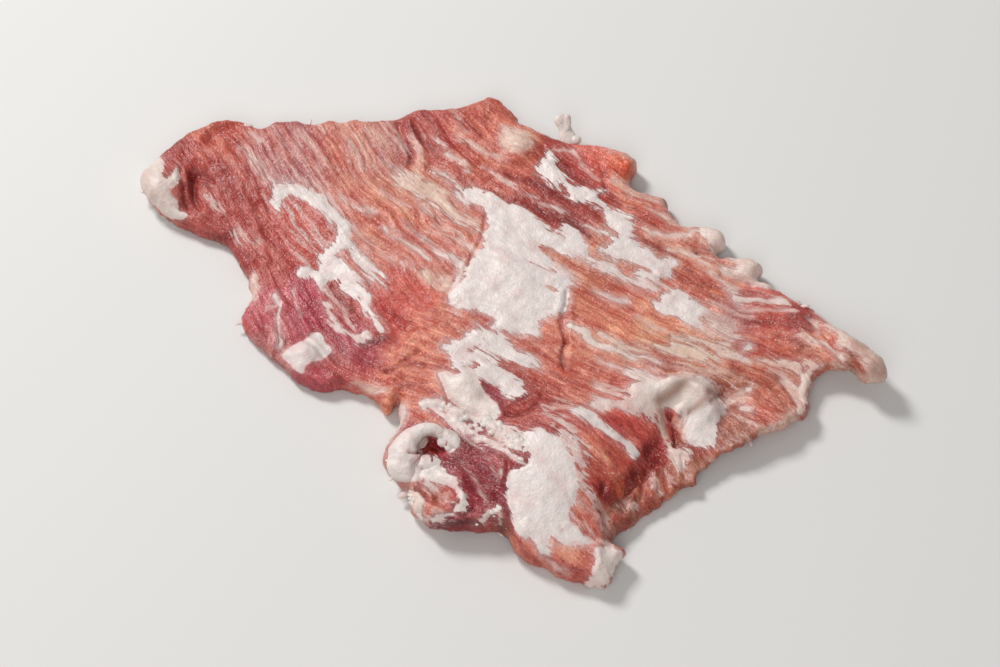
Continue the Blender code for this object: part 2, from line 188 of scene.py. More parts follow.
slab = {
    "length": 263.0,
    "width": 206.4,
    "thickness": 7.0,  # lean meat away from every fold and rim
    "least": 1.7,
    "topEdgeRadius": 3.4,
    "undersideEdgeRadius": 2.0,
    "edgeHeightShare": 0.42,  # where the outline runs, as a share of the thickness
    "edgeHeightLimit": 6.0,  # thickness beyond which the outline rises no further
    "edgeRadiusLeast": 0.3,  # share of the edge radii that the thinnest places keep
    "topStep": 0.67,  # spacing of points on the upper side
    "undersideStep": 2.4,
    "topRows": (0.25, 0.7, 1.3, 2.0),  # rows of points that follow the outline, and the grid's margin
    "topMargin": 2.5,
    "undersideRows": (0.35, 1.1),
    "undersideMargin": 2.4,
    "torn": (0.72, 4.2857143, 0.396, 1.3),  # swing and length of the edge's wander, coarse and fine
    "flatBelow": 0.35,  # lift that still counts as lying flat
    "warp": ((5.5, 1.0), (2.2, 0.4)),  # pitch and swing of the wander of folds and fat edges
    "waver": ((13.0, 1.5), (5.0, 0.5)),  # pitch and swing of the waves in the grain
    "ragged": ((66, -62), (34, 16), 33, 1.1),  # hill of extra swing in the torn edge
    "fatProud": 0.45,  # how far fat stands above the lean
    "fatRise": (-0.4, 2.6),  # depth into the fat over which it rises
    "thickCover": (0.5, 0.95),  # cover over which fat stands proud
    "fatLumps": (0.18, 2.8),  # height and pitch
    "lumps": (0.55, 6.5),
    "fibreRidges": (0.37, 11, 2.0),  # height, pitch along and across the fibres
    "ridgesOnFat": 0.8,  # share of the ridges that fat hides
    "ridgesInwards": (0.3, 7),  # share on the outline, and distance at which it is whole
}

outline = {
    "leftFatCap": [(-127, 55.2), (-131.4, 62.8), (-130.1, 69.9), (-122.5, 80)],
    "leftLobeFarSide": [(-113.5, 89.2), (-106, 93.4), (-94.7, 93), (-90.3, 91)],
    "farEdge": [(-80.3, 94.4), (-70.6, 93.2), (-56.6, 94.4), (-41, 95.1), (-32.9, 98.8)],
    "farCorner": [(-15.9, 100.4), (-4.7, 104.4), (2, 100.6), (9, 92), (23.3, 84)],
    "farRightStep": [(35, 82.4), (44.5, 77), (48.9, 73.2), (46.8, 67), (47.6, 62.6), (53.4, 60),
        (59.4, 56.6), (59.6, 53)],
    "firstLobe": [(64.8, 45.4), (70, 44.6), (75.6, 43), (79.8, 39), (79.4, 35), (76.4, 32.2)],
    "secondLobe": [(82, 30), (88, 28.8), (91.6, 25), (89.9, 21)],
    "hookOuterSide": [(100.2, 14.4), (110.7, 5.2), (119.3, -4.9), (126.9, -13.5)],
    "hookTip": [(131.4, -21.3), (129.7, -24.6), (123.4, -26)],
    "hookInnerSide": [(117.8, -20.5), (110.3, -19.3), (105.5, -23.8), (104, -29.4)],
    "rightSkirt": [(103.9, -33.8), (98.9, -39.8), (86, -46.6), (77, -51), (71.8, -54.2), (68, -58.6),
        (64.6, -61.6)],
    "nearSkirt": [(58, -66.2), (54.4, -69.2), (50.4, -72.8), (46, -75.4), (41.2, -79.2)],
    "nearTip": [(35, -84.6), (38.9, -90.6), (36.8, -95.3), (33.4, -101.8), (27.5, -101.6)],
    "nearTipLeft": [(15, -95.9), (6.6, -91.6), (-0.6, -83)],
    "foldedEnd": [(-10.9, -81.4), (-22.2, -81), (-28.2, -76.8), (-32.6, -66.4)],
    "curl": [(-36.6, -60.4), (-39.8, -54.5), (-35.4, -38.7), (-35.6, -31)],
    "notch": [(-39.2, -34.8), (-43.6, -28.6), (-53, -24.8), (-66, -24)],
    "thinSheet": [(-74.8, -17), (-91.4, 4.2), (-88.4, 12.5), (-89.4, 20), (-91.6, 25)],
    "leftLobeNearSide": [(-98, 36.4), (-107, 41.6), (-119.3, 48.4)],
}

# Hills: centre, reach along and across, turn in degrees, height.
thicknessHills = {
    "leftLobe": ((-110, 68), (22, 20), 0, 1.6),
    "thinLeftSheet": ((-70, 5), (38, 22), -50, -2.8),
    "thinRightSkirt": ((66, -50), (42, 16), 35, -3.4),
    "skirtEdge": ((76, -55), (34, 8), 31, -2.6),
    "nearSkirtEdge": ((46, -76), (12, 6), 40, -2.0),
    "rightSide": ((85, 5), (40, 26), -30, -1.0),
    "centreSlab": ((6, 21), (27, 22), -30, 2.0),
    "orangeBulge": ((37, -4.6), (17, 11), -15, 2.6),
    "nearPlateau": ((22, -52), (26, 26), -20, 2.2),
    "whitePatch": ((14, -68), (12, 19), 10, 1.4),
    "farBulge": ((40, 75), (15, 7), -25, 1.6),
}
liftHills = {
    "leftTip": ((-130, 58), (13, 10), 0, 3.6),
    "nearLeftEnd": ((-20, -84), (24, 9), 0, 3.4),
    "nearTip": ((42, -93), (10, 9), 0, 3.6),
    "rightSkirt": ((84, -50), (30, 12), 26, 6.2),
    "hook": ((126, -22), (23, 13), -40, 7.4),
    "firstLobe": ((80, 36), (9, 8), 0, 1.4),
    "secondLobe": ((92, 24), (9, 8), 0, 1.4),
    "farRightStep": ((50, 72), (10, 9), 0, 1.8),
    "farCorner": ((-4, 102), (12, 8), 0, 1.6),
}
reliefHills = {
    "leftFatCap": ((-122.7, 59.5), (9, 10), 0, 2.6),
    "dimple": ((-107.6, 65), (6, 4), -30, -2.2),
    "fatNub": ((-68, -12.5), (4.4, 5.2), 30, 3.6),
    "fatBump": ((-13, -27.5), (7, 6), -50, 3.0),
    "creamyKnob": ((6.3, 79.4), (6.5, 6), 0, 3.4),
    "curlPocket": ((-22.5, -50.5), (3.6, 4.2), 0, -3.6),
    "foldedEndHollow": ((-20.8, -71), (6.5, 5), 0, -2.2),
    "foldPocket": ((58.4, -32.6), (4.6, 3.4), 30, -2.6),
    "besideFold": ((75, -29.5), (5, 4.5), 0, -2.4),
    "foldApron": ((49, -31.5), (12, 8), 0, 4.2),
    "foldApronRight": ((63, -31), (6, 5), 0, 2.0),
    "firstLobeRim": ((74.7, 38.3), (6, 4.5), -30, 0.7),
    "secondLobeRim": ((86.7, 25), (6, 4.5), -30, 0.7),
}
# Ridges: half width, height, path. A negative height is a crease.
ridges = {
    "fold": (4.4, 4.6, [(58, -28.4), (63.5, -27.4), (68.8, -30), (70, -34)]),
    "foldBrow": (2.6, 1.5, [(66.5, -31.5), (62, -35), (58.5, -38.5)]),
    "foldFlap": (4.4, 2.0, [(69, -36.5), (66, -42.5), (60.5, -48)]),
    "slitUnderFold": (2.0, -2.4, [(56, -37), (57.7, -43), (59.5, -49)]),
    "leftPit": (3.0, -2.6, [(-111.8, 64.8), (-112.1, 53.3)]),
    "hookRim": (5.0, 1.6, [(104, 3), (113, -4.5), (119.2, -11), (126, -18.5)]),
    "foldedEndRim": (3.0, 2.6, [(-29, -67.5), (-25, -71), (-24.5, -76), (-20, -77.5), (-14, -73.5),
        (-14, -66)]),
    "smallRoll": (1.7, 1.5, [(-1, -36.8), (5.1, -34.4), (10.9, -31.5)]),
    "leftSeam": (4.0, 0.9, [(-83.5, 59.4), (-69.4, 52.5), (-58, 37.6), (-42, -1.7)]),
}
# Steps are higher on the left of their path: slope, height, (middle, reach) of the hill that fades them.
stepsUp = {
    "nearPlateau": (4.2, 6.2, ((18, -62), (34, 34)), [(34.6, -98), (33.2, -86), (32, -76.6), (35.7, -70.4),
        (45.4, -57.7), (52.7, -42), (55, -26)]),
    "mainSlab": (5.0, 2.6, ((-24, -12), (26, 36)), [(-6, 52), (-10.9, 27.6), (-18.6, 16.7), (-31.9, -4.4),
        (-37.5, -13.6), (-40, -24.8), (-36, -40)]),
}


def hillsAt(points, named):
    # Sum of height * exp(-(along / reach)^2 - (across / reach)^2) in each hill's turned axes.
    total = np.zeros(len(points))
    for centre, reach, turn, height in named.values():
        c, s = math.cos(math.radians(turn)), math.sin(math.radians(turn))
        x, y = (points - centre).T
        total += height * np.exp(-(((x * c + y * s) / reach[0]) ** 2) - ((y * c - x * s) / reach[1]) ** 2)
    return total


def ridgesAt(points):
    # Sum of height * nearness to each path.
    total = np.zeros(len(points))
    for halfWidth, height, path in ridges.values():
        total += height * nearPath(points, path, halfWidth)
    return total


def stepsAt(points):
    # Sum of height * smoothstep across the path * a hill that fades it.
    total = np.zeros(len(points))
    for slope, height, (centre, reach), path in stepsUp.values():
        distance, side = pathDistance(points, path)
        x, y = ((points - centre) / reach).T
        total += height * smoothStep(-slope / 2, slope / 2, distance * side) * np.exp(-(x**2) - y**2)
    return total


undulation = {
    "height": 0.35,
    "lengths": (9.5, 8.2),  # mm for each radian, along x and y
    "bend": (1.3, 21),  # radians and length of the bend in the first wave
    "phase": 0.9,
    "slant": (1.7, 17.0),  # share of y in the slanting wave, and its length
}


def undulationAt(points):
    # A product of two sine waves, the first bent by a third, and a slanting sine wave.
    x, y = points.T
    alongX, alongY = undulation["lengths"]
    bend, bendLength = undulation["bend"]
    share, slantLength = undulation["slant"]
    product = np.sin(x / alongX + bend * np.sin(y / bendLength)) * np.sin(y / alongY + undulation["phase"])
    return undulation["height"] * (product + np.sin((x + share * y) / slantLength))


def roundEdge(edge, radius):
    # Quarter circle: sqrt(1 - (1 - d/r)^2), 0 on the outline and 1 from one radius inwards.
    return np.sqrt(1 - (1 - np.clip(edge / radius, 0, 1)) ** 2)


def wander(points, seed):
    # Sideways shift of each point by layers of noise, so that no fold or fat edge runs smooth.
    shift = np.zeros_like(points)
    for k, (pitch, swing) in enumerate(slab["warp"]):
        x, y = (points / pitch).T
        shift += swing * np.column_stack([valueNoise(x, y, seed + k), valueNoise(x, y, seed + 10 + k)])
    return shift


def slabHeights(points, edge, fine):
    # Upper and lower height: lift + thickness + relief, rounded towards the outline.
    lift = np.maximum(hillsAt(points, liftHills) - slab["flatBelow"], 0)
    thickness = slab["thickness"] + hillsAt(points, thicknessHills)
    bent = points + wander(points, 50)
    relief = hillsAt(bent, reliefHills) + ridgesAt(bent) + stepsAt(bent) + undulationAt(points)
    top = lift + np.maximum(thickness + relief, slab["least"])
    middle = lift + slab["edgeHeightShare"] * np.minimum(top - lift, slab["edgeHeightLimit"])
    thin = np.clip((top - lift) / slab["thickness"], slab["edgeRadiusLeast"], 1)
    upper = middle + (top + fine - middle) * roundEdge(edge, slab["topEdgeRadius"] * thin)
    return upper, middle + (lift - middle) * roundEdge(edge, slab["undersideEdgeRadius"] * thin)


# Direction of the muscle fibres: pixel, and degrees that they fall towards the right.
grainHints = {
    "leftLobe": [(160, 165, 50), (200, 150, 52), (215, 205, 60), (185, 225, 35)],
    "neck": [(240, 170, 66), (255, 235, 72), (255, 290, 78), (280, 320, 80)],
    "thinSheet": [(300, 300, 66), (330, 345, 50), (300, 375, 30), (360, 370, 20)],
    "farEdge": [(280, 150, 60), (320, 160, 58), (370, 150, 54), (400, 130, 50), (450, 125, 38),
        (490, 120, 36)],
    "seam": [(310, 220, 48), (350, 290, 55), (340, 240, 42)],
    "middle": [(380, 190, 38), (400, 240, 34), (440, 200, 31), (430, 280, 36), (390, 320, 44),
        (460, 250, 32)],
    "orange": [(410, 370, 24), (400, 395, 22), (450, 320, 22)],
    "upperRight": [(510, 180, 30), (560, 200, 31), (600, 170, 34), (620, 160, 28), (640, 210, 24),
        (660, 230, 22)],
    "centre": [(500, 250, 30), (520, 310, 26), (490, 350, 28), (540, 290, 26)],
    "right": [(600, 260, 24), (620, 330, 22), (680, 260, 26), (700, 300, 20), (740, 290, 16),
        (780, 320, 14)],
    "rightWaves": [(640, 355, 14), (700, 365, 10), (740, 340, 12), (780, 350, 14), (820, 335, 12),
        (720, 375, 24)],
    "farWaves": [(715, 300, 18), (748, 298, 3), (772, 297, 3), (750, 312, 5), (782, 311, 6), (760, 328, 8),
        (790, 332, 12)],
    "rightEdge": [(745, 346, 8), (790, 352, 12), (812, 350, 12), (775, 368, 30), (785, 380, 42),
        (765, 420, 34)],
    "hook": [(820, 320, 32), (850, 345, 38), (870, 365, 36), (790, 390, 50), (760, 400, 34)],
    "lowerCentre": [(480, 400, 34), (520, 400, 30), (560, 380, 28), (600, 390, 22), (560, 425, 32)],
    "plateau": [(620, 425, 34), (605, 460, 40), (640, 440, 50), (600, 500, 66), (590, 520, 62)],
    "skirt": [(640, 490, 60), (670, 470, 62), (700, 460, 40), (740, 435, 30), (620, 515, 66)],
    "purpleMuscle": [(470, 450, 50), (485, 480, 58), (500, 510, 72), (445, 465, 45)],
    "whitePatch": [(545, 470, 62), (545, 520, 66), (520, 545, 52)],
    "nearTip": [(560, 565, 36), (600, 575, 40)],
    "foldedEnd": [(440, 505, 20), (460, 525, 8), (410, 450, 70)],
}


grainMap = {
    "step": 2.0,
    "x": (-146, 146),
    "y": (-118, 120),
    "height": 8.0,  # about that of the lean surface
    "blur": 12.0,  # pixels
}


def solveGrain():
    # Two fields whose slopes follow the fibres and cross them.
    # The hints give a unit direction everywhere (weights 1 / (distance^2 + blur^2)^2); the field
    # whose gradient is nearest to it solves Poisson's equation on the mirrored, periodic map.
    step = grainMap["step"]
    xs, ys = np.arange(*grainMap["x"], step), np.arange(*grainMap["y"], step)
    gridX, gridY = np.meshgrid(xs, ys, indexing="ij")
    pixels = photoPixels(gridX, gridY, grainMap["height"])
    hints = np.array([hint for group in grainHints.values() for hint in group], float)
    tall = 1 / sinDown  # the picture's foreshortening
    fall = np.radians(hints[:, 2])
    way = np.column_stack([np.cos(fall), -np.sin(fall) * tall])
    way /= np.linalg.norm(way, axis=1)[:, None]
    gap = ((pixels[:, :, None, :] - hints[None, None, :, :2]) ** 2).sum(-1)
    weight = 1 / (gap + grainMap["blur"] ** 2) ** 2
    along = (weight[..., None] * way).sum(2)
    along /= np.linalg.norm(along, axis=-1)[..., None]
    across = np.stack([-along[..., 1], along[..., 0]], -1)
    fields = []
    for slope in (along, across):
        gx, gy = slope[..., 0], slope[..., 1]
        gx = np.block([[gx, gx[:, ::-1]], [-gx[::-1], -gx[::-1, ::-1]]])
        gy = np.block([[gy, -gy[:, ::-1]], [gy[::-1], -gy[::-1, ::-1]]])
        kx = 2 * math.pi * np.fft.fftfreq(gx.shape[0], step)[:, None]
        ky = 2 * math.pi * np.fft.fftfreq(gx.shape[1], step)[None, :]
        k2 = kx**2 + ky**2
        k2[0, 0] = 1
        field = np.fft.ifft2(-1j * (kx * np.fft.fft2(gx) + ky * np.fft.fft2(gy)) / k2).real
        fields.append(field[: len(xs), : len(ys)])
    return xs[0], ys[0], step, fields


def grainAt(points, solved):
    # Bilinear reading of both grain fields, in mm along and across the fibres.
    x0, y0, step, fields = solved
    gx = np.clip((points[:, 0] - x0) / step, 0, fields[0].shape[0] - 1.001)
    gy = np.clip((points[:, 1] - y0) / step, 0, fields[0].shape[1] - 1.001)
    ix, iy = gx.astype(int), gy.astype(int)
    fx, fy = gx - ix, gy - iy
    out = [
        (f[ix, iy] * (1 - fx) + f[ix + 1, iy] * fx) * (1 - fy)
        + (f[ix, iy + 1] * (1 - fx) + f[ix + 1, iy + 1] * fx) * fy
        for f in fields
    ]
    along, across = out
    for pitch, swing in slab["waver"]:
        across = across + swing * valueNoise(points[:, 0] / pitch, points[:, 1] / pitch, 77)
    return np.column_stack([along, across])


# Fat painted on the picture: fray in mm (how far the grain breaks its edge), cream from 0 to 1,
# cover from 0 to 1, then either the corners of an area or x, y and half width along a stroke.
fatAreas = {
    "leftCap": (0.3, 0.2, 1.0, [(158, 158), (164, 164), (162, 172), (168, 177), (178, 169), (181, 179),
        (172, 189), (178, 201), (177, 207), (187, 214), (184, 218), (170, 218), (156, 208), (145, 198),
        (140, 190), (141, 176), (150, 164)]),
    "seam": (0.9, 0.0, 1.0, [(271, 180), (277, 184), (293, 184), (308, 188), (322, 196), (337, 210),
        (352, 226), (349, 238), (354, 246), (342, 250), (336, 254), (349, 268), (359, 278), (369, 291),
        (371, 306), (379, 321), (387, 331), (378, 329), (367, 316), (357, 300), (345, 293), (337, 282),
        (326, 281), (321, 292), (306, 279), (297, 273), (302, 265), (314, 271), (318, 266), (315, 258),
        (327, 249), (333, 240), (338, 228), (322, 214), (307, 203), (292, 196), (281, 203), (281, 211),
        (275, 214), (272, 206), (270, 192)]),
    "lowSeam": (1.0, 0.0, 0.85, [(322, 302), (330, 303), (338, 317), (348, 332), (356, 337), (360, 332),
        (370, 333), (371, 338), (360, 343), (354, 346), (351, 340), (337, 331), (327, 314)]),
    "nub": (0.1, 0.0, 1.0, [(284, 352), (296, 345), (304, 338), (320, 331), (322, 341), (330, 347),
        (331, 353), (320, 360), (308, 365), (302, 376), (296, 372), (285, 360)]),
    "midCream": (1.6, 0.6, 0.8, [(388, 172), (404, 172), (420, 178), (440, 190), (452, 206), (470, 218),
        (480, 229), (466, 226), (448, 216), (430, 204), (410, 193), (394, 184)]),
    "midPatch": (1.2, 0.7, 0.7, [(418, 271), (430, 268), (444, 275), (453, 284), (450, 291), (434, 286),
        (422, 279)]),
    "slab": (0.8, 0.0, 1.0, [(470, 188), (486, 192), (507, 201), (525, 211), (541, 222), (555, 231),
        (562, 227), (577, 229), (584, 241), (590, 252), (598, 262), (588, 262), (566, 254), (541, 246),
        (545, 255), (556, 266), (570, 276), (574, 284), (566, 286), (568, 298), (563, 312), (548, 316),
        (536, 322), (540, 336), (528, 335), (508, 331), (490, 329), (496, 321), (474, 311), (455, 308),
        (446, 295), (456, 286), (464, 273), (472, 254), (483, 242), (485, 222), (480, 208), (461, 199),
        (458, 192)]),
    "band": (1.5, 0.0, 1.0, [(553, 152), (552, 159), (565, 173), (574, 184), (590, 188), (602, 192),
        (598, 200), (612, 208), (627, 214), (634, 226), (640, 244), (656, 255), (671, 263), (674, 268),
        (664, 278), (648, 282), (634, 274), (645, 267), (626, 263), (604, 256), (598, 249), (614, 243),
        (610, 236), (600, 234), (598, 228), (608, 224), (604, 212), (590, 206), (572, 200), (553, 184),
        (537, 174), (541, 162)]),
    "patchRight": (1.2, 0.0, 1.0, [(663, 298), (670, 290), (684, 291), (697, 302), (708, 309), (701, 318),
        (703, 330), (690, 328), (676, 316), (656, 309)]),
    "lilac": (1.8, 0.0, 0.6, [(702, 312), (716, 320), (734, 328), (738, 342), (722, 340), (702, 331),
        (698, 320)]),
    "creamRight": (1.4, 0.6, 0.95, [(656, 347), (672, 346), (692, 349), (712, 350), (740, 352), (742, 360),
        (724, 361), (700, 360), (676, 359)]),
    "firstLobe": (0.9, 0.2, 0.9, [(697, 226), (712, 222), (726, 230), (730, 243), (722, 259), (712, 250),
        (704, 240)]),
    "secondLobe": (0.8, 0.2, 0.85, [(722, 258), (750, 256), (764, 268), (760, 278), (746, 281), (728, 276),
        (718, 269), (734, 266)]),
    "edgeWhite": (0.3, 0.25, 0.9, [(748, 274), (772, 280), (790, 288), (802, 304), (792, 302), (780, 290),
        (764, 288), (750, 286)]),
    "edgeBand": (0.4, 0.2, 0.95, [(727, 290), (744, 298), (766, 297), (780, 298), (791, 308), (776, 304),
        (750, 304), (732, 299)]),
    "hook": (0.9, 0.35, 0.8, [(812, 308), (826, 311), (846, 325), (864, 338), (880, 351), (892, 367),
        (888, 380), (868, 386), (868, 374), (861, 362), (850, 350), (840, 342), (838, 334), (828, 328),
        (820, 320)]),
    "skirtRim": (0.6, 0.7, 0.7, [(756, 434), (776, 422), (793, 409), (800, 419), (782, 430), (758, 439)]),
    "knob": (1.4, 0.55, 0.75, [(498, 134), (512, 128), (526, 134), (534, 146), (520, 152), (506, 148)]),
    "lowWhite": (1.0, 0.0, 1.0, [(438, 347), (462, 338), (478, 328), (498, 334), (516, 348), (534, 358),
        (541, 366), (528, 367), (504, 359), (484, 351), (490, 357), (506, 366), (518, 378), (526, 384),
        (522, 396), (504, 396), (498, 386), (484, 380), (466, 374), (452, 367), (447, 354)]),
    "fatBump": (0.2, 0.15, 1.0, [(438, 372), (446, 371), (456, 374), (463, 367), (474, 374), (483, 384),
        (490, 394), (497, 403), (501, 414), (496, 424), (484, 420), (470, 414), (458, 404), (447, 392),
        (440, 382)]),
    "crumble": (1.0, 0.05, 0.95, [(421, 402), (434, 398), (450, 402), (462, 409), (476, 413), (490, 417),
        (504, 424), (518, 430), (530, 437), (528, 448), (518, 451), (506, 445), (494, 441), (482, 438),
        (472, 432), (460, 432), (452, 430), (444, 421), (434, 411), (424, 408)]),
    "whitePatch": (0.8, 0.0, 1.0, [(526, 432), (545, 430), (559, 436), (570, 452), (578, 474), (580, 489),
        (574, 500), (571, 512), (576, 526), (592, 539), (588, 546), (562, 545), (549, 538), (548, 553),
        (540, 553), (536, 541), (524, 537), (515, 530), (512, 512), (506, 488), (508, 470), (520, 467),
        (528, 456), (524, 442)]),
    "strip": (0.8, 0.0, 1.0, [(568, 410), (584, 407), (596, 412), (602, 421), (614, 431), (626, 439),
        (637, 451), (636, 459), (624, 446), (608, 436), (596, 429), (584, 420), (574, 415)]),
    "aboveStrip": (1.0, 0.1, 0.9, [(597, 396), (612, 398), (628, 404), (642, 412), (636, 415), (616, 409),
        (600, 411), (590, 406)]),
    "besideStrip": (1.2, 0.0, 0.85, [(624, 366), (640, 368), (662, 377), (644, 382), (628, 380)]),
    "fold": (0.4, 0.2, 1.0, [(630, 384), (650, 379), (682, 374), (702, 377), (711, 387), (712, 403),
        (698, 413), (684, 419), (672, 411), (662, 408), (654, 414), (640, 412), (628, 404)]),
    "foldLeft": (1.6, 0.1, 0.8, [(594, 394), (612, 399), (632, 392), (648, 400), (657, 410), (654, 421),
        (638, 417), (618, 410), (600, 404)]),
    "foldFoot": (0.7, 0.0, 1.0, [(684, 414), (700, 407), (716, 399), (728, 410), (718, 420), (717, 437),
        (706, 448), (690, 444), (681, 437), (680, 424)]),
    "underFoot": (1.4, 0.15, 0.8, [(668, 447), (678, 450), (692, 451), (688, 459), (681, 469), (674, 465),
        (669, 456)]),
    "tipCap": (0.9, 0.15, 1.0, [(596, 548), (610, 545), (624, 553), (617, 563), (611, 582), (602, 591),
        (586, 586), (593, 573), (592, 558)]),
    "curlFoot": (0.8, 0.05, 1.0, [(434, 457), (440, 466), (448, 473), (458, 482), (464, 492), (468, 502),
        (464, 511), (450, 516), (434, 522), (424, 522), (436, 514), (450, 509), (458, 502), (454, 492),
        (442, 484), (424, 480), (420, 464)]),
    "endRim": (0.4, 0.35, 0.95, [(408, 488), (418, 493), (424, 500), (424, 514), (426, 522), (416, 512),
        (403, 497)]),
    "curlBed": (0.2, 0.05, 1.0, [(458, 446), (452, 434), (438, 424), (416, 426), (404, 438), (390, 462),
        (392, 478), (420, 482), (430, 468), (424, 456), (424, 444), (434, 432), (444, 440), (450, 452)]),
}

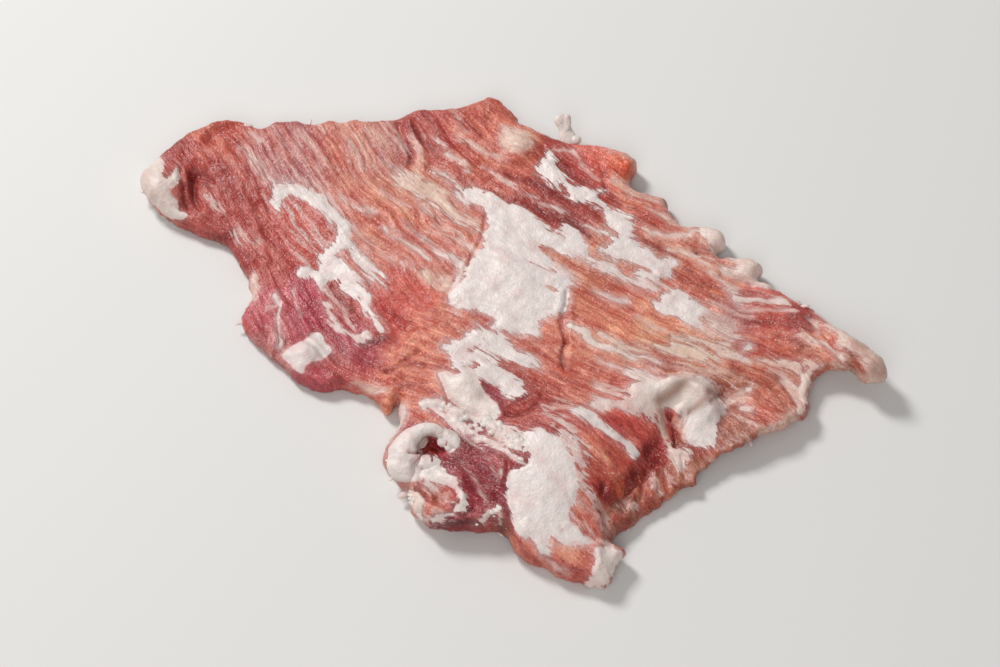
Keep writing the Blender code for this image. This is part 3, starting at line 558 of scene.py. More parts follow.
fatStrokes = {
    # farStrip: painted glints, drawn as a pinkish strip of fat.
    "farStrip": (1.6, 0.1, 0.7, [(242, 146, 2), (252, 155, 3), (262, 170, 2), (270, 182, 3)]),
    "farStripTop": (0.8, 0.3, 0.7, [(250, 134, 2), (258, 142, 2)]),
    # neckGlints and lobeGlints: painted glints on the lean, drawn as frayed fat.
    "neckGlints": (2.2, 0.0, 0.7, [(236, 234, 2), (246, 240, 3), (258, 246, 1.5)]),
    "lobeGlints": (1.8, 0.1, 0.7, [(206, 196, 0.6), (214, 206, 1.4), (220, 214, 0.6)]),
    "leftHair": (0.1, 0.0, 1.0, [(275, 295, 2), (279, 308, 1.3), (277, 328, 1.2), (280, 344, 2)]),
    "leftHair2": (0.3, 0.0, 0.6, [(292, 292, 0.8), (297, 306, 0.8), (302, 316, 0.6)]),
    "leftHair3": (0.3, 0.1, 0.6, [(268, 308, 1.6), (275, 307, 1)]),
    "capEnd": (0.6, 0.6, 0.8, [(252, 276, 3), (255, 288, 5), (252, 300, 2)]),
    "seamFinger": (1.4, 0.0, 0.95, [(348, 246, 3), (358, 258, 3), (370, 268, 3), (386, 280, 1.5)]),
    "seamFinger2": (1.4, 0.0, 0.95, [(352, 256, 2), (362, 268, 3), (376, 278, 4), (388, 288, 2)]),
    "seamFinger3": (1.2, 0.0, 0.6, [(352, 226, 3), (364, 238, 2.4), (382, 252, 1.4)]),
    "seamOver": (1.4, 0.0, 0.6, [(306, 182, 2), (320, 190, 2.6), (334, 202, 2.6), (346, 214, 2)]),
    "lowSeamTop": (1.0, 0.1, 0.6, [(318, 288, 1.6), (330, 296, 2), (342, 308, 2), (354, 330, 1)]),
    # midHighlight: a painted highlight streak, drawn as fat.
    "midHighlight": (1.0, 0.25, 0.95, [(392, 178, 1), (410, 189, 3), (430, 203, 3.4), (446, 214, 3),
        (462, 223, 1.5)]),
    "midSpeckle": (2.4, 0.0, 0.8, [(390, 166, 2), (400, 172, 4), (412, 180, 3)]),
    "midArc": (0.8, 0.1, 0.95, [(434, 172, 1), (447, 176, 2.4), (455, 184, 2.4), (460, 193, 4),
        (468, 203, 3)]),
    "midLine1": (1.0, 0.1, 0.8, [(340, 197, 1.5), (356, 206, 1.6), (374, 214, 1)]),
    "midLine2": (1.0, 0.1, 0.85, [(386, 228, 1), (400, 238, 2), (414, 248, 2), (430, 260, 1.6)]),
    "midLine3": (1.2, 0.0, 0.85, [(408, 226, 0.8), (426, 240, 1.8), (442, 254, 2.6), (456, 264, 3),
        (459, 278, 2)]),
    "midLine4": (1.2, 0.1, 0.7, [(368, 246, 1), (390, 258, 1.2), (406, 264, 1.6), (424, 269, 1.6)]),
    "midLine5": (0.8, 0.2, 0.7, [(436, 226, 1), (452, 238, 1.8), (468, 248, 1.6), (478, 251, 1)]),
    "midLine6": (0.8, 0.0, 0.6, [(380, 193, 1), (394, 201, 1.6), (406, 207, 1)]),
    "midLine7": (1.4, 0.3, 0.6, [(420, 206, 1), (440, 222, 1.4), (462, 238, 1.4)]),
    "midFall": (0.6, 0.1, 0.9, [(462, 264, 3), (460, 276, 4), (454, 288, 4)]),
    "far1": (1.8, 0.1, 0.6, [(386, 124, 2), (396, 136, 2.4), (404, 148, 2.4)]),
    "far2": (1.2, 0.5, 0.6, [(412, 138, 2), (417, 150, 3), (420, 162, 2)]),
    "far3": (1.6, 0.15, 0.75, [(428, 136, 1.4), (440, 146, 2), (452, 156, 2.6), (462, 164, 1.8),
        (468, 172, 1.4)]),
    "far4": (1.2, 0.3, 0.6, [(452, 110, 1), (458, 120, 1.6), (466, 134, 1)]),
    "far5": (1.4, 0.5, 0.7, [(460, 138, 1), (474, 147, 1.8), (490, 154, 2), (506, 160, 1)]),
    "far6": (1.0, 0.3, 0.7, [(484, 168, 1), (498, 179, 1.5), (516, 190, 1.5), (522, 194, 1)]),
    "far7": (1.6, 0.3, 0.5, [(300, 128, 1), (310, 146, 2), (318, 166, 1)]),
    "far8": (1.6, 0.3, 0.5, [(340, 126, 1), (352, 148, 2), (364, 168, 1)]),
    "line1": (0.8, 0.0, 0.8, [(503, 180, 0.6), (516, 188, 1.4), (530, 197, 2.2), (546, 205, 1.8),
        (562, 214, 1.4), (578, 222, 1)]),
    "line1b": (0.8, 0.0, 0.8, [(578, 222, 1.4), (590, 227, 2), (600, 230, 2.4)]),
    "line2": (0.8, 0.0, 0.95, [(594, 262, 2.4), (612, 270, 3.4), (624, 278, 3), (640, 285, 2.4),
        (656, 290, 2)]),
    "line3": (0.8, 0.1, 0.8, [(648, 283, 2), (660, 286, 2.4), (668, 290, 2)]),
    "line4": (0.6, 0.0, 0.8, [(594, 290, 1.2), (604, 297, 2.8), (616, 302, 2.8), (628, 303, 1)]),
    "line5": (0.6, 0.1, 0.7, [(636, 317, 0.8), (650, 325, 1.2), (662, 330, 0.8)]),
    "underSlab": (1.6, 0.0, 0.7, [(556, 262, 4), (568, 274, 4), (576, 284, 1.6)]),
    "curve1": (0.5, 0.3, 0.85, [(640, 226, 0.8), (650, 234, 2), (666, 238, 1.8), (682, 235, 2.6),
        (698, 231, 2)]),
    "curve2": (0.8, 0.4, 0.85, [(668, 250, 1), (684, 252, 2.4), (700, 256, 3), (712, 262, 1.6)]),
    "curve3": (0.8, 0.3, 0.8, [(698, 262, 1), (710, 269, 2.4), (722, 277, 2), (734, 284, 1.4)]),
    "edgePink": (1.0, 0.15, 0.8, [(722, 280, 3), (732, 290, 4), (742, 300, 2)]),
    "edgeLine": (0.5, 0.2, 0.7, [(740, 311, 1.6), (766, 310, 1.6), (794, 312, 1.2)]),
    "edgeLine2": (0.8, 0.2, 0.6, [(716, 306, 2), (734, 311, 2), (750, 316, 1.2)]),
    "kneeStreak": (0.7, 0.3, 1.0, [(571, 327, 3), (582, 333, 4.4), (596, 343, 4), (614, 350, 2.6),
        (640, 356, 2.4), (662, 364, 1.4)]),
    "kneeCream": (1.0, 0.6, 0.85, [(600, 336, 3), (622, 346, 2), (650, 350, 1.4)]),
    "cream1": (1.2, 0.6, 0.9, [(672, 338, 1.4), (690, 342, 3), (708, 346, 2.4), (728, 346, 3)]),
    "cream2": (0.8, 0.4, 0.6, [(662, 366, 1), (690, 368, 1.4), (720, 372, 1.6), (738, 378, 1)]),
    "upperRightCream": (2.2, 0.5, 0.62, [(612, 182, 4), (628, 188, 6), (646, 196, 4.6), (664, 201, 3)]),
    "upperRightCream2": (1.2, 0.6, 0.6, [(650, 208, 2), (668, 218, 3), (684, 228, 2)]),
    "rimThin": (0.1, 0.2, 1.0, [(580, 140, 1.6), (598, 142, 1.8), (611, 149, 1.4)]),
    "rimThin2": (0.1, 0.4, 0.7, [(620, 152, 0.8), (634, 160, 1), (634, 168, 0.8)]),
    "rim3": (0.2, 0.2, 0.8, [(552, 152, 1), (562, 149, 1.2), (572, 152, 1)]),
    "rim4": (0.5, 0.2, 0.6, [(572, 152, 1), (580, 162, 1.2), (592, 176, 1.4), (600, 182, 0.8)]),
    "hookLines": (0.9, 0.3, 0.7, [(800, 334, 2), (812, 342, 2.6), (826, 346, 2.4), (840, 354, 2)]),
    # hookGlint: a painted highlight on the hook, drawn as whitish fat.
    "hookGlint": (0.4, 0.2, 0.95, [(828, 348, 2), (836, 352, 3), (844, 359, 2)]),
    "hookLow": (0.8, 0.8, 0.6, [(846, 366, 1.6), (858, 373, 2), (866, 377, 2)]),
    "notchTop": (1.5, 0.45, 0.75, [(757, 362, 2), (776, 364, 4), (796, 367, 5), (812, 366, 4),
        (830, 364, 2), (843, 367, 2)]),
    "notchSide": (1.4, 0.45, 0.7, [(768, 371, 1.5), (782, 376, 3), (792, 388, 3), (797, 400, 2.4)]),
    "notchRim": (0.9, 0.4, 0.9, [(812, 369, 3), (806, 380, 5), (803, 392, 6.4), (802, 403, 6.4),
        (800, 412, 4)]),
    "hookPink": (0.7, 0.1, 0.6, [(806, 318, 2), (814, 322, 4), (818, 330, 2)]),
    "fleck1": (0.1, 0.1, 1.0, [(744, 349, 1.4), (748, 347, 2.4), (751, 346, 1)]),
    "fleck2": (0.3, 0.1, 0.9, [(742, 361, 2), (746, 361, 3), (750, 364, 1)]),
    "fleck3": (0.1, 0.1, 1.0, [(745, 391, 2.6), (749, 390, 2)]),
    "fleck4": (0.2, 0.2, 0.9, [(743, 408, 3), (749, 409, 3)]),
    "hollowRim": (0.8, 0.5, 0.7, [(728, 400, 4), (738, 396, 4), (744, 402, 3)]),
    "skirtLine": (0.6, 0.2, 0.7, [(728, 412, 1), (740, 420, 1.5), (756, 428, 1.2)]),
    "crumbleLow": (1.1, 0.05, 0.9, [(462, 423, 4), (473, 430, 6), (485, 437, 6), (497, 444, 5.5),
        (510, 452, 4)]),
    "crumbs1": (1.0, 0.0, 0.9, [(482, 434, 1.6), (500, 441, 2.4), (516, 450, 2)]),
    "crumbs2": (1.0, 0.0, 0.85, [(498, 446, 1.4), (512, 456, 2.6), (524, 462, 3)]),
    "pinkPatch": (2.2, 0.0, 0.6, [(570, 512, 3), (578, 526, 4), (592, 540, 3)]),
    "pinkLine": (0.8, 0.0, 0.7, [(580, 500, 1), (592, 512, 1.4), (606, 534, 1)]),
    "patchSpeckle": (2.4, 0.0, 0.8, [(560, 430, 4), (574, 446, 8), (582, 462, 7), (586, 476, 4)]),
    "patchSpeckle2": (2.2, 0.0, 0.7, [(578, 476, 4), (586, 490, 5), (594, 506, 3)]),
    "plateauPink": (2.2, 0.0, 0.7, [(546, 414, 3), (560, 422, 4), (574, 434, 4)]),
    "plateauPink2": (1.6, 0.1, 0.6, [(556, 400, 2), (570, 404, 3)]),
    "foldShade": (0.2, 0.6, 1.0, [(652, 401, 3), (664, 396, 5), (676, 389, 5), (686, 384, 2)]),
    "foldWall": (0.8, 0.5, 0.8, [(659, 412, 4), (663, 424, 4), (666, 440, 3.4), (670, 456, 3)]),
    "foldInner": (0.8, 1.2, 0.6, [(678, 420, 2), (682, 430, 3), (684, 438, 2)]),
    "overFold": (0.8, 0.1, 0.7, [(600, 362, 1), (614, 368, 1.6), (626, 372, 2)]),
    "leftOfFold": (1.4, 0.4, 0.7, [(596, 386, 1.6), (612, 392, 2.4), (630, 394, 4)]),
    "skirtPale": (1.6, 0.6, 0.35, [(722, 446, 3), (738, 439, 4), (752, 434, 3)]),
    "skirtPale2": (1.6, 0.5, 0.4, [(690, 474, 2), (700, 468, 2), (712, 460, 2)]),
    "skirtFlecks": (1.8, 0.1, 0.6, [(654, 474, 0.6), (656, 484, 2), (661, 491, 1.4)]),
    "skirtFlecks2": (2.2, 0.1, 0.6, [(618, 507, 1), (630, 509, 2), (636, 502, 2), (640, 504, 1)]),
    "skirtFlecks3": (1.8, 0.1, 0.5, [(664, 470, 0.8), (670, 478, 1.2), (672, 484, 0.6)]),
    "neckEdge": (0.5, 0.5, 0.6, [(598, 500, 1), (602, 514, 1.8), (606, 530, 1.4)]),
    "tipFinger": (0.8, 0.0, 0.45, [(548, 562, 1), (556, 568, 1.4), (566, 574, 1)]),
    "tipLine": (0.8, 0.1, 0.8, [(586, 538, 2), (600, 541, 2.4), (612, 545, 2)]),
    "sideStrip": (0.3, 0.2, 0.95, [(403, 407, 3.8), (402, 416, 2.6), (400, 424, 1.5), (396, 433, 0.8),
        (391, 444, 0.6)]),
    "endLobe": (1.2, 0.1, 0.85, [(428, 486, 2), (440, 488, 2.6), (450, 494, 2)]),
    "endBits": (0.7, 0.1, 0.95, [(472, 524, 1.6), (482, 521, 2.4), (489, 514, 3.4), (498, 510, 2)]),
    "endBits2": (0.5, 0.6, 0.8, [(500, 514, 2), (500, 524, 1.4)]),
    "purpleLine": (0.2, 0.0, 0.35, [(463, 464, 0.3), (474, 480, 0.7), (488, 503, 0.4)]),
    "purpleLine2": (0.2, 0.0, 0.4, [(480, 452, 0.5), (488, 462, 0.8), (497, 480, 0.5)]),
    "purpleLine3": (0.2, 0.0, 0.4, [(462, 434, 0.6), (474, 444, 0.9), (486, 456, 0.3)]),
    "purpleFleck": (0.2, 0.3, 0.9, [(500, 470, 1.8), (500, 476, 1.2)]),
    "leftEdgeCream": (0.8, 0.6, 0.6, [(352, 384, 2), (368, 388, 4), (384, 392, 3)]),
}

# Lean laid over the fat: x, y and half width along each stroke.
leanStrokes = {
    "slabWedge": [(541, 248, 0.8), (552, 256, 3), (566, 263, 4), (580, 270, 4), (594, 274, 3)],
    "slabLine": [(532, 263, 0.8), (544, 268, 1.6), (554, 272, 1)],
    "slabLine2": [(546, 285, 0.6), (552, 287, 1.4), (558, 289, 0.8)],
    "slabLine3": [(558, 232, 0.8), (564, 238, 1)],
    "slabFoot": [(474, 310, 1), (486, 315, 1.2), (496, 321, 0.8)],
    "slabFoot2": [(512, 334, 3), (524, 336, 2), (532, 338, 1)],
    "bandLine": [(578, 206, 1.8), (590, 210, 2.4), (606, 214, 1.4)],
    "bandLine2": [(562, 216, 1), (582, 220, 3.2), (600, 226, 3.6), (612, 232, 2.6), (618, 236, 1.6)],
    "bandSpot": [(584, 230, 3.6), (590, 238, 5), (596, 244, 3)],
    "bandLine3": [(590, 254, 1.2), (606, 260, 2.4), (630, 266, 2.4), (648, 269, 1.4)],
    "bandDot": [(562, 184, 1.6), (564, 186, 1.2)],
    "lowRed": [(480, 350, 1), (491, 357, 2.4), (505, 364, 3.2), (520, 371, 4)],
    "lowCrack": [(482, 337, 0.6), (481, 344, 0.8), (474, 350, 0.8), (464, 351, 0.5)],
    "lowCrack2": [(464, 364, 0.6), (472, 366, 0.9), (478, 362, 0.5)],
    "lowHollow": [(482, 383, 2), (490, 390, 5), (498, 400, 4)],
    "patchDot": [(550, 539, 2.4), (554, 544, 1.4)],
    "patchDot2": [(562, 532, 1.2), (563, 537, 1)],
    "crumbleGap": [(440, 410, 0.5), (444, 411, 0.9), (447, 414, 0.5)],
    "crumbleGap2": [(461, 419, 0.1), (466, 422, 0.2), (471, 421, 0.1)],
    "crumbleGap3": [(470, 428, 0.1), (475, 426, 0.2), (480, 424, 0.1)],
    "crumbleRed": [(480, 434, 0.8), (485, 432, 1.6), (491, 432, 1.0)],
    "crumbleRed2": [(490, 437, 0.8), (496, 438, 1.6), (501, 440, 0.8)],
    "crumbleRed3": [(504, 448, 0.8), (508, 449, 1.4), (513, 450, 0.8)],
    "crumbleSpot": [(498, 415, 0.6), (501, 417, 1.2), (505, 424, 0.7)],
    "foldSlit": [(664, 414, 0.8), (669, 420, 2), (674, 434, 3.6), (672, 447, 1.4)],
    "curlHole": [(434, 437, 1.6), (432, 445, 5), (430, 453, 3), (437, 449, 3.4), (446, 450, 2)],
    "edgeRed": [(735, 281, 1), (746, 289, 2.2), (762, 292, 1.6), (778, 291, 1.2), (788, 299, 1.1),
        (793, 306, 1)],
    "firstLobeRed": [(699, 236, 1.6), (708, 246, 2.2), (716, 254, 1)],
    "secondLobeRed": [(718, 262, 1), (728, 267, 1.6), (735, 270, 0.8)],
    "hookRed": [(824, 330, 1), (836, 342, 2), (852, 356, 2), (866, 374, 1.4)],
    "seamNotch": [(336, 256, 1), (346, 262, 2), (354, 268, 1)],
    "seamNotch2": [(329, 285, 2.4), (340, 295, 4), (350, 306, 4)],
    "foldRed": [(650, 372, 0.8), (672, 374, 1.2), (700, 374, 1)],
}

# Darker or redder lean, and painted shade in pits, clefts, hollows, slits, walls and gaps: half width in
# pixels, strength (below 0 paler), path.
redLeanAndShade = {
    # pit: painted shade in the left pit, over the lean's own darker red there.
    "pit": (5, 0.45, [(190, 182), (193, 196), (192, 206)]),
    "pitPurple": (5, 0.25, [(200, 182), (208, 186)]),
    "neckEnd": (5, 0.5, [(216, 238), (226, 238)]),
    "lobeTop": (4, 0.1, [(216, 124), (224, 126)]),
    "lobeDark": (5, 0.22, [(222, 168), (234, 184), (240, 198)]),
    "sheetRight": (15, 0.2, [(340, 352), (370, 356)]),
    "sheetDeep": (5, 0.6, [(362, 344), (372, 342), (384, 338)]),
    "seamShade": (3, 0.3, [(326, 284), (340, 300), (356, 318), (368, 328)]),
    "middleDeep": (18, 0.07, [(390, 300), (414, 312)]),
    "skirtRight": (12, 0.12, [(705, 442), (750, 436)]),
    "bulgePale": (16, -0.08, [(590, 318), (625, 335)]),
    "leftEdgePale": (18, -0.06, [(262, 262), (268, 300)]),
    "farDark1": (3.4, 0.55, [(407, 142), (410, 152), (411, 161)]),
    "farDark2": (3.4, 0.4, [(412, 128), (422, 140), (432, 150)]),
    "farDark3": (2.2, 0.5, [(391, 166), (393, 171)]),
    "farDark4": (3.4, 0.22, [(386, 130), (394, 142), (400, 156)]),
    "farDark5": (4, 0.35, [(466, 122), (474, 130), (480, 136)]),
    "farDark6": (3, 0.35, [(458, 168), (464, 182), (468, 192)]),
    "farDark7": (3, 0.3, [(484, 118), (490, 120)]),
    "upperDark1": (4, 0.4, [(500, 172), (520, 180), (544, 186), (560, 196), (576, 204)]),
    "upperDark2": (3.4, 0.42, [(492, 192), (510, 200), (528, 206)]),
    "upperDark3": (4, 0.42, [(536, 210), (552, 218), (570, 224), (580, 228)]),
    "upperDark4": (3.4, 0.6, [(584, 232), (590, 238)]),
    "upperDark5": (4, 0.3, [(560, 164), (574, 176), (586, 184)]),
    "upperDark6": (2.6, 0.45, [(605, 170), (604, 184), (608, 196), (620, 206)]),
    "rightDark1": (4, 0.35, [(636, 234), (648, 244), (664, 250), (680, 264), (694, 276)]),
    "rightDark2": (4, 0.35, [(670, 276), (684, 280), (700, 286)]),
    "rightDark3": (4, 0.35, [(704, 286), (712, 296), (716, 302)]),
    "rightDark4": (2, 0.3, [(662, 234), (680, 236), (696, 240), (710, 250)]),
    "rightDark5": (3, 0.4, [(708, 314), (718, 318), (730, 322)]),
    "rightDark6": (5, 0.35, [(744, 322), (760, 324), (780, 320), (804, 326)]),
    "rightDark7": (4, 0.3, [(776, 336), (792, 340), (806, 348)]),
    "rightDark8": (2.4, 0.5, [(806, 330), (814, 330)]),
    # hollow and hollow2: painted shade in the hollow beside the fold.
    "hollow": (6, 0.25, [(718, 384), (720, 394)]),
    "hollow2": (3, 0.3, [(726, 384), (734, 388), (746, 386)]),
    "hookDark": (2.4, 0.4, [(840, 342), (850, 352), (858, 364), (864, 374)]),
    # cleft and cleftLow: painted shade in the cleft between the slab and the orange bulge.
    "cleft": (1.8, 0.5, [(567, 294), (566, 306), (562, 316), (561, 325), (565, 338), (562, 352),
        (564, 366)]),
    "cleftLow": (4, 0.3, [(560, 348), (561, 362)]),
    "pleat1": (1.6, 0.3, [(640, 362), (668, 370), (700, 371), (730, 378)]),
    "pleat2": (1.6, 0.25, [(622, 354), (650, 362), (680, 366), (712, 366)]),
    # underFold, slit, wall, wall2 and wall3: painted shade under the fold, in the slit and on the wall
    # between the plateau and the skirt.
    "underFold": (2.6, 0.3, [(600, 384), (618, 390), (626, 394)]),
    "slit": (2.4, 0.6, [(669, 415), (672, 424), (675, 434), (672, 446)]),
    "wall": (6, 0.3, [(652, 446), (652, 460), (648, 468)]),
    "wall2": (5, 0.3, [(634, 474), (628, 488), (625, 500)]),
    "wall3": (5, 0.2, [(603, 486), (605, 498)]),
    "wallPale": (4, -0.2, [(616, 488), (618, 504), (616, 520)]),
    # plateauEdge: painted shade where the plateau drops to the wall.
    "plateauEdge": (3, 0.25, [(656, 420), (660, 436), (656, 450)]),
    "plateauDeep": (8, 0.12, [(610, 420), (630, 430), (644, 440)]),
    # rollFoot and hollowLow: painted shade under the small roll and in the hollow in front of it.
    "rollFoot": (1.8, 0.35, [(506, 415), (516, 416), (530, 411), (540, 403)]),
    "hollowLow": (4, 0.35, [(484, 386), (492, 394), (500, 402)]),
    "purpleDark": (4, 0.3, [(456, 434), (464, 442), (472, 446)]),
    "purpleDark2": (3, 0.25, [(492, 492), (500, 502)]),
    # endHole, endUnder, endGap and endGap2: painted shade in the end's hole, on its near wall and in the
    # gaps under the curl.
    "endHole": (3, 0.3, [(450, 502), (456, 504)]),
    "endUnder": (4, 0.55, [(432, 526), (452, 523), (468, 521), (484, 528)]),
    "endGap": (2.4, 0.5, [(414, 487), (424, 493), (428, 500)]),
    "endGap2": (2.6, 0.6, [(500, 520), (502, 530)]),
    "tipLow": (3, 0.35, [(536, 562), (548, 568), (560, 574)]),
    "orangePale": (4, -0.18, [(392, 392), (386, 400), (400, 398)]),
    "orangeDark": (2.4, 0.4, [(384, 372), (400, 364), (424, 364)]),
    "orangeDark2": (2.4, 0.35, [(400, 388), (412, 384), (426, 382)]),
    "orangeDark3": (2.4, 0.35, [(436, 366), (448, 369), (458, 370)]),
    "slabShade": (1.6, 0.5, [(460, 276), (468, 266), (470, 256)]),
}

# The lean's tones, red, green and blue from 0 to 255, each with the places where it lies: pixel
# and reach in pixels.
leanTones = {
    "palePeach": ((228, 164, 132), [(420, 330, 14), (516, 140, 10), (640, 330, 22), (618, 334, 12),
        (700, 345, 20)]),
    "peach": ((212, 142, 112), [(400, 195, 28), (392, 395, 14), (690, 262, 20), (600, 275, 24),
        (590, 350, 16), (760, 366, 12)]),
    "paleRose": ((200, 146, 134), [(380, 150, 24), (402, 416, 8)]),
    "mauve": ((186, 122, 118), [(270, 345, 20), (740, 330, 16), (400, 440, 14), (500, 445, 12),
        (208, 178, 7), (290, 150, 26)]),
    "rose": ((200, 104, 114), [(262, 310, 22), (322, 372, 10)]),
    "lightSalmon": ((204, 120, 98), [(355, 205, 20), (340, 140, 22), (400, 250, 28), (445, 260, 20),
        (405, 372, 24), (445, 312, 14), (640, 295, 20), (600, 312, 20), (650, 362, 18), (670, 240, 20),
        (560, 370, 22), (590, 385, 18), (760, 408, 14), (580, 505, 14), (525, 548, 12), (560, 560, 22),
        (436, 503, 13), (830, 345, 16)]),
    "salmon": ((196, 102, 82), [(222, 130, 24), (480, 118, 24), (490, 160, 22), (520, 166, 16),
        (470, 180, 14), (640, 215, 20), (378, 388, 14), (770, 345, 20), (605, 462, 20), (595, 515, 14),
        (424, 414, 14), (690, 285, 16)]),
    "orange": ((220, 114, 78), [(625, 160, 18), (618, 486, 6)]),
    "coral": ((202, 90, 78), [(300, 225, 22), (625, 425, 20), (650, 425, 10), (590, 165, 20),
        (765, 320, 16), (400, 305, 26), (640, 462, 6)]),
    "brick": ((178, 82, 74), [(205, 185, 26), (255, 215, 24), (240, 240, 14), (262, 262, 20),
        (300, 230, 12), (420, 130, 22), (405, 150, 10), (340, 375, 20), (545, 425, 16), (700, 448, 8),
        (438, 486, 8), (484, 524, 10)]),
    "deepBrick": ((166, 66, 56), [(170, 152, 18), (194, 190, 9), (560, 190, 26), (530, 400, 22),
        (520, 405, 9), (800, 322, 10), (340, 300, 12), (505, 457, 8), (575, 572, 14), (368, 340, 8)]),
    "plum": ((178, 70, 84), [(300, 320, 26), (360, 352, 18), (318, 388, 14), (500, 395, 12), (443, 450, 5),
        (410, 426, 6)]),
    "tan": ((168, 124, 96), [(876, 366, 14), (846, 356, 8)]),
    "rust": ((174, 100, 76), [(862, 372, 14), (810, 350, 14), (850, 366, 9), (780, 390, 18),
        (740, 420, 14), (735, 385, 9), (668, 478, 12), (719, 390, 9), (652, 492, 16), (720, 446, 10)]),
    "brown": ((152, 88, 68), [(624, 512, 12), (735, 432, 16), (612, 524, 9), (686, 480, 9), (696, 460, 12),
        (500, 526, 8)]),
    "wine": ((140, 30, 44), [(480, 470, 24), (500, 500, 18), (450, 462, 12), (455, 527, 14),
        (468, 435, 6)]),
    # deepRed lies on the wall below the plateau, in the skirt's pits and in the curl's pocket: the lean's
    # own deep red with painted shade in it.
    "deepRed": ((146, 20, 14), [(652, 458, 11), (605, 492, 10), (433, 447, 8), (634, 480, 7)]),
}

# Marbling: pixel, reach in pixels and how much of the area thin streaks of fat take up.
marbling = {
    "leftLobe": [(215, 205, 18, 0.22), (180, 140, 20, 0.04)],
    "seamInner": [(302, 228, 16, 0.70)],
    "neck": [(258, 250, 22, 0.34), (252, 160, 16, 0.40)],
    "thinSheet": [(262, 330, 22, 0.16), (300, 320, 22, 0.06)],
    "farEdge": [(300, 150, 24, 0.54), (345, 150, 20, 0.52), (390, 150, 18, 0.54)],
    "farCorner": [(420, 140, 20, 0.24), (470, 130, 24, 0.04), (450, 165, 18, 0.30)],
    "middle": [(400, 190, 26, 0.34), (400, 245, 24, 0.40), (445, 250, 20, 0.44), (370, 260, 16, 0.46)],
    "middleLow": [(400, 305, 18, 0.06), (405, 365, 22, 0.06)],
    "upperRight": [(540, 205, 22, 0.03), (590, 175, 18, 0.06), (640, 160, 16, 0.02)],
    "right": [(660, 225, 16, 0.30), (600, 280, 22, 0.34), (690, 260, 20, 0.32), (660, 310, 14, 0.22)],
    "bulge": [(610, 325, 16, 0.10), (650, 350, 18, 0.46)],
    "rightWaves": [(700, 352, 24, 0.76), (745, 315, 18, 0.46), (760, 345, 18, 0.40), (800, 350, 18, 0.34)],
    "hook": [(830, 340, 14, 0.34)],
    "rightEdge": [(780, 395, 18, 0.36), (740, 380, 12, 0.58), (735, 430, 16, 0.10)],
    "lowerCentre": [(490, 345, 22, 0.40), (530, 385, 20, 0.26), (558, 370, 13, 0.42), (560, 420, 18, 0.40),
        (590, 385, 18, 0.30)],
    "plateau": [(625, 425, 16, 0.12), (605, 462, 18, 0.22)],
    "skirt": [(650, 490, 22, 0.20), (690, 460, 16, 0.08)],
    "purple": [(480, 465, 18, 0.20), (505, 500, 14, 0.24)],
    "foldedEnd": [(438, 503, 10, 0.55)],
    "nearTip": [(560, 560, 20, 0.09), (590, 520, 14, 0.30)],
}

# Warm shadow on the fat: half width in pixels, strength, path.
fatShades = {
    "foldHollow": (6, 0.7, [(658, 401), (667, 396), (676, 390), (685, 382)]),
    "foldRight": (4, 0.6, [(713, 388), (707, 397), (698, 406), (690, 412)]),
    "foldCrease": (1.2, 0.6, [(681, 412), (683, 422), (680, 432)]),
    "foldCrease2": (0.9, 0.5, [(689, 411), (687, 420), (683, 428)]),
    "foldWall": (3, 0.35, [(661, 412), (663, 424), (668, 440)]),
    "curlInner": (5, 0.65, [(421, 453), (422, 446), (427, 440), (433, 436)]),
    "curlUnder": (3.5, 0.3, [(396, 481), (410, 484), (422, 481)]),
    "curlStart": (2.5, 0.3, [(440, 433), (446, 430), (452, 433)]),
    "leftCap": (7, 0.22, [(147, 168), (146, 182), (152, 198)]),
    "hook": (9, 0.6, [(856, 350), (870, 362), (880, 374)]),
    "hookFar": (3, 0.2, [(828, 318), (848, 334), (866, 348)]),
    "skirtRim": (6, 0.35, [(740, 438), (770, 426), (798, 406)]),
    "lobe": (3, 0.3, [(726, 256), (718, 252), (710, 246)]),
    "lobe2": (3, 0.3, [(752, 278), (738, 278), (728, 274)]),
    "bumpFoot": (2.5, 0.25, [(452, 402), (462, 410), (480, 416)]),
    "nub": (3, 0.14, [(286, 360), (298, 368), (306, 366)]),
    "tip": (4, 0.2, [(596, 586), (604, 590), (611, 580)]),
}

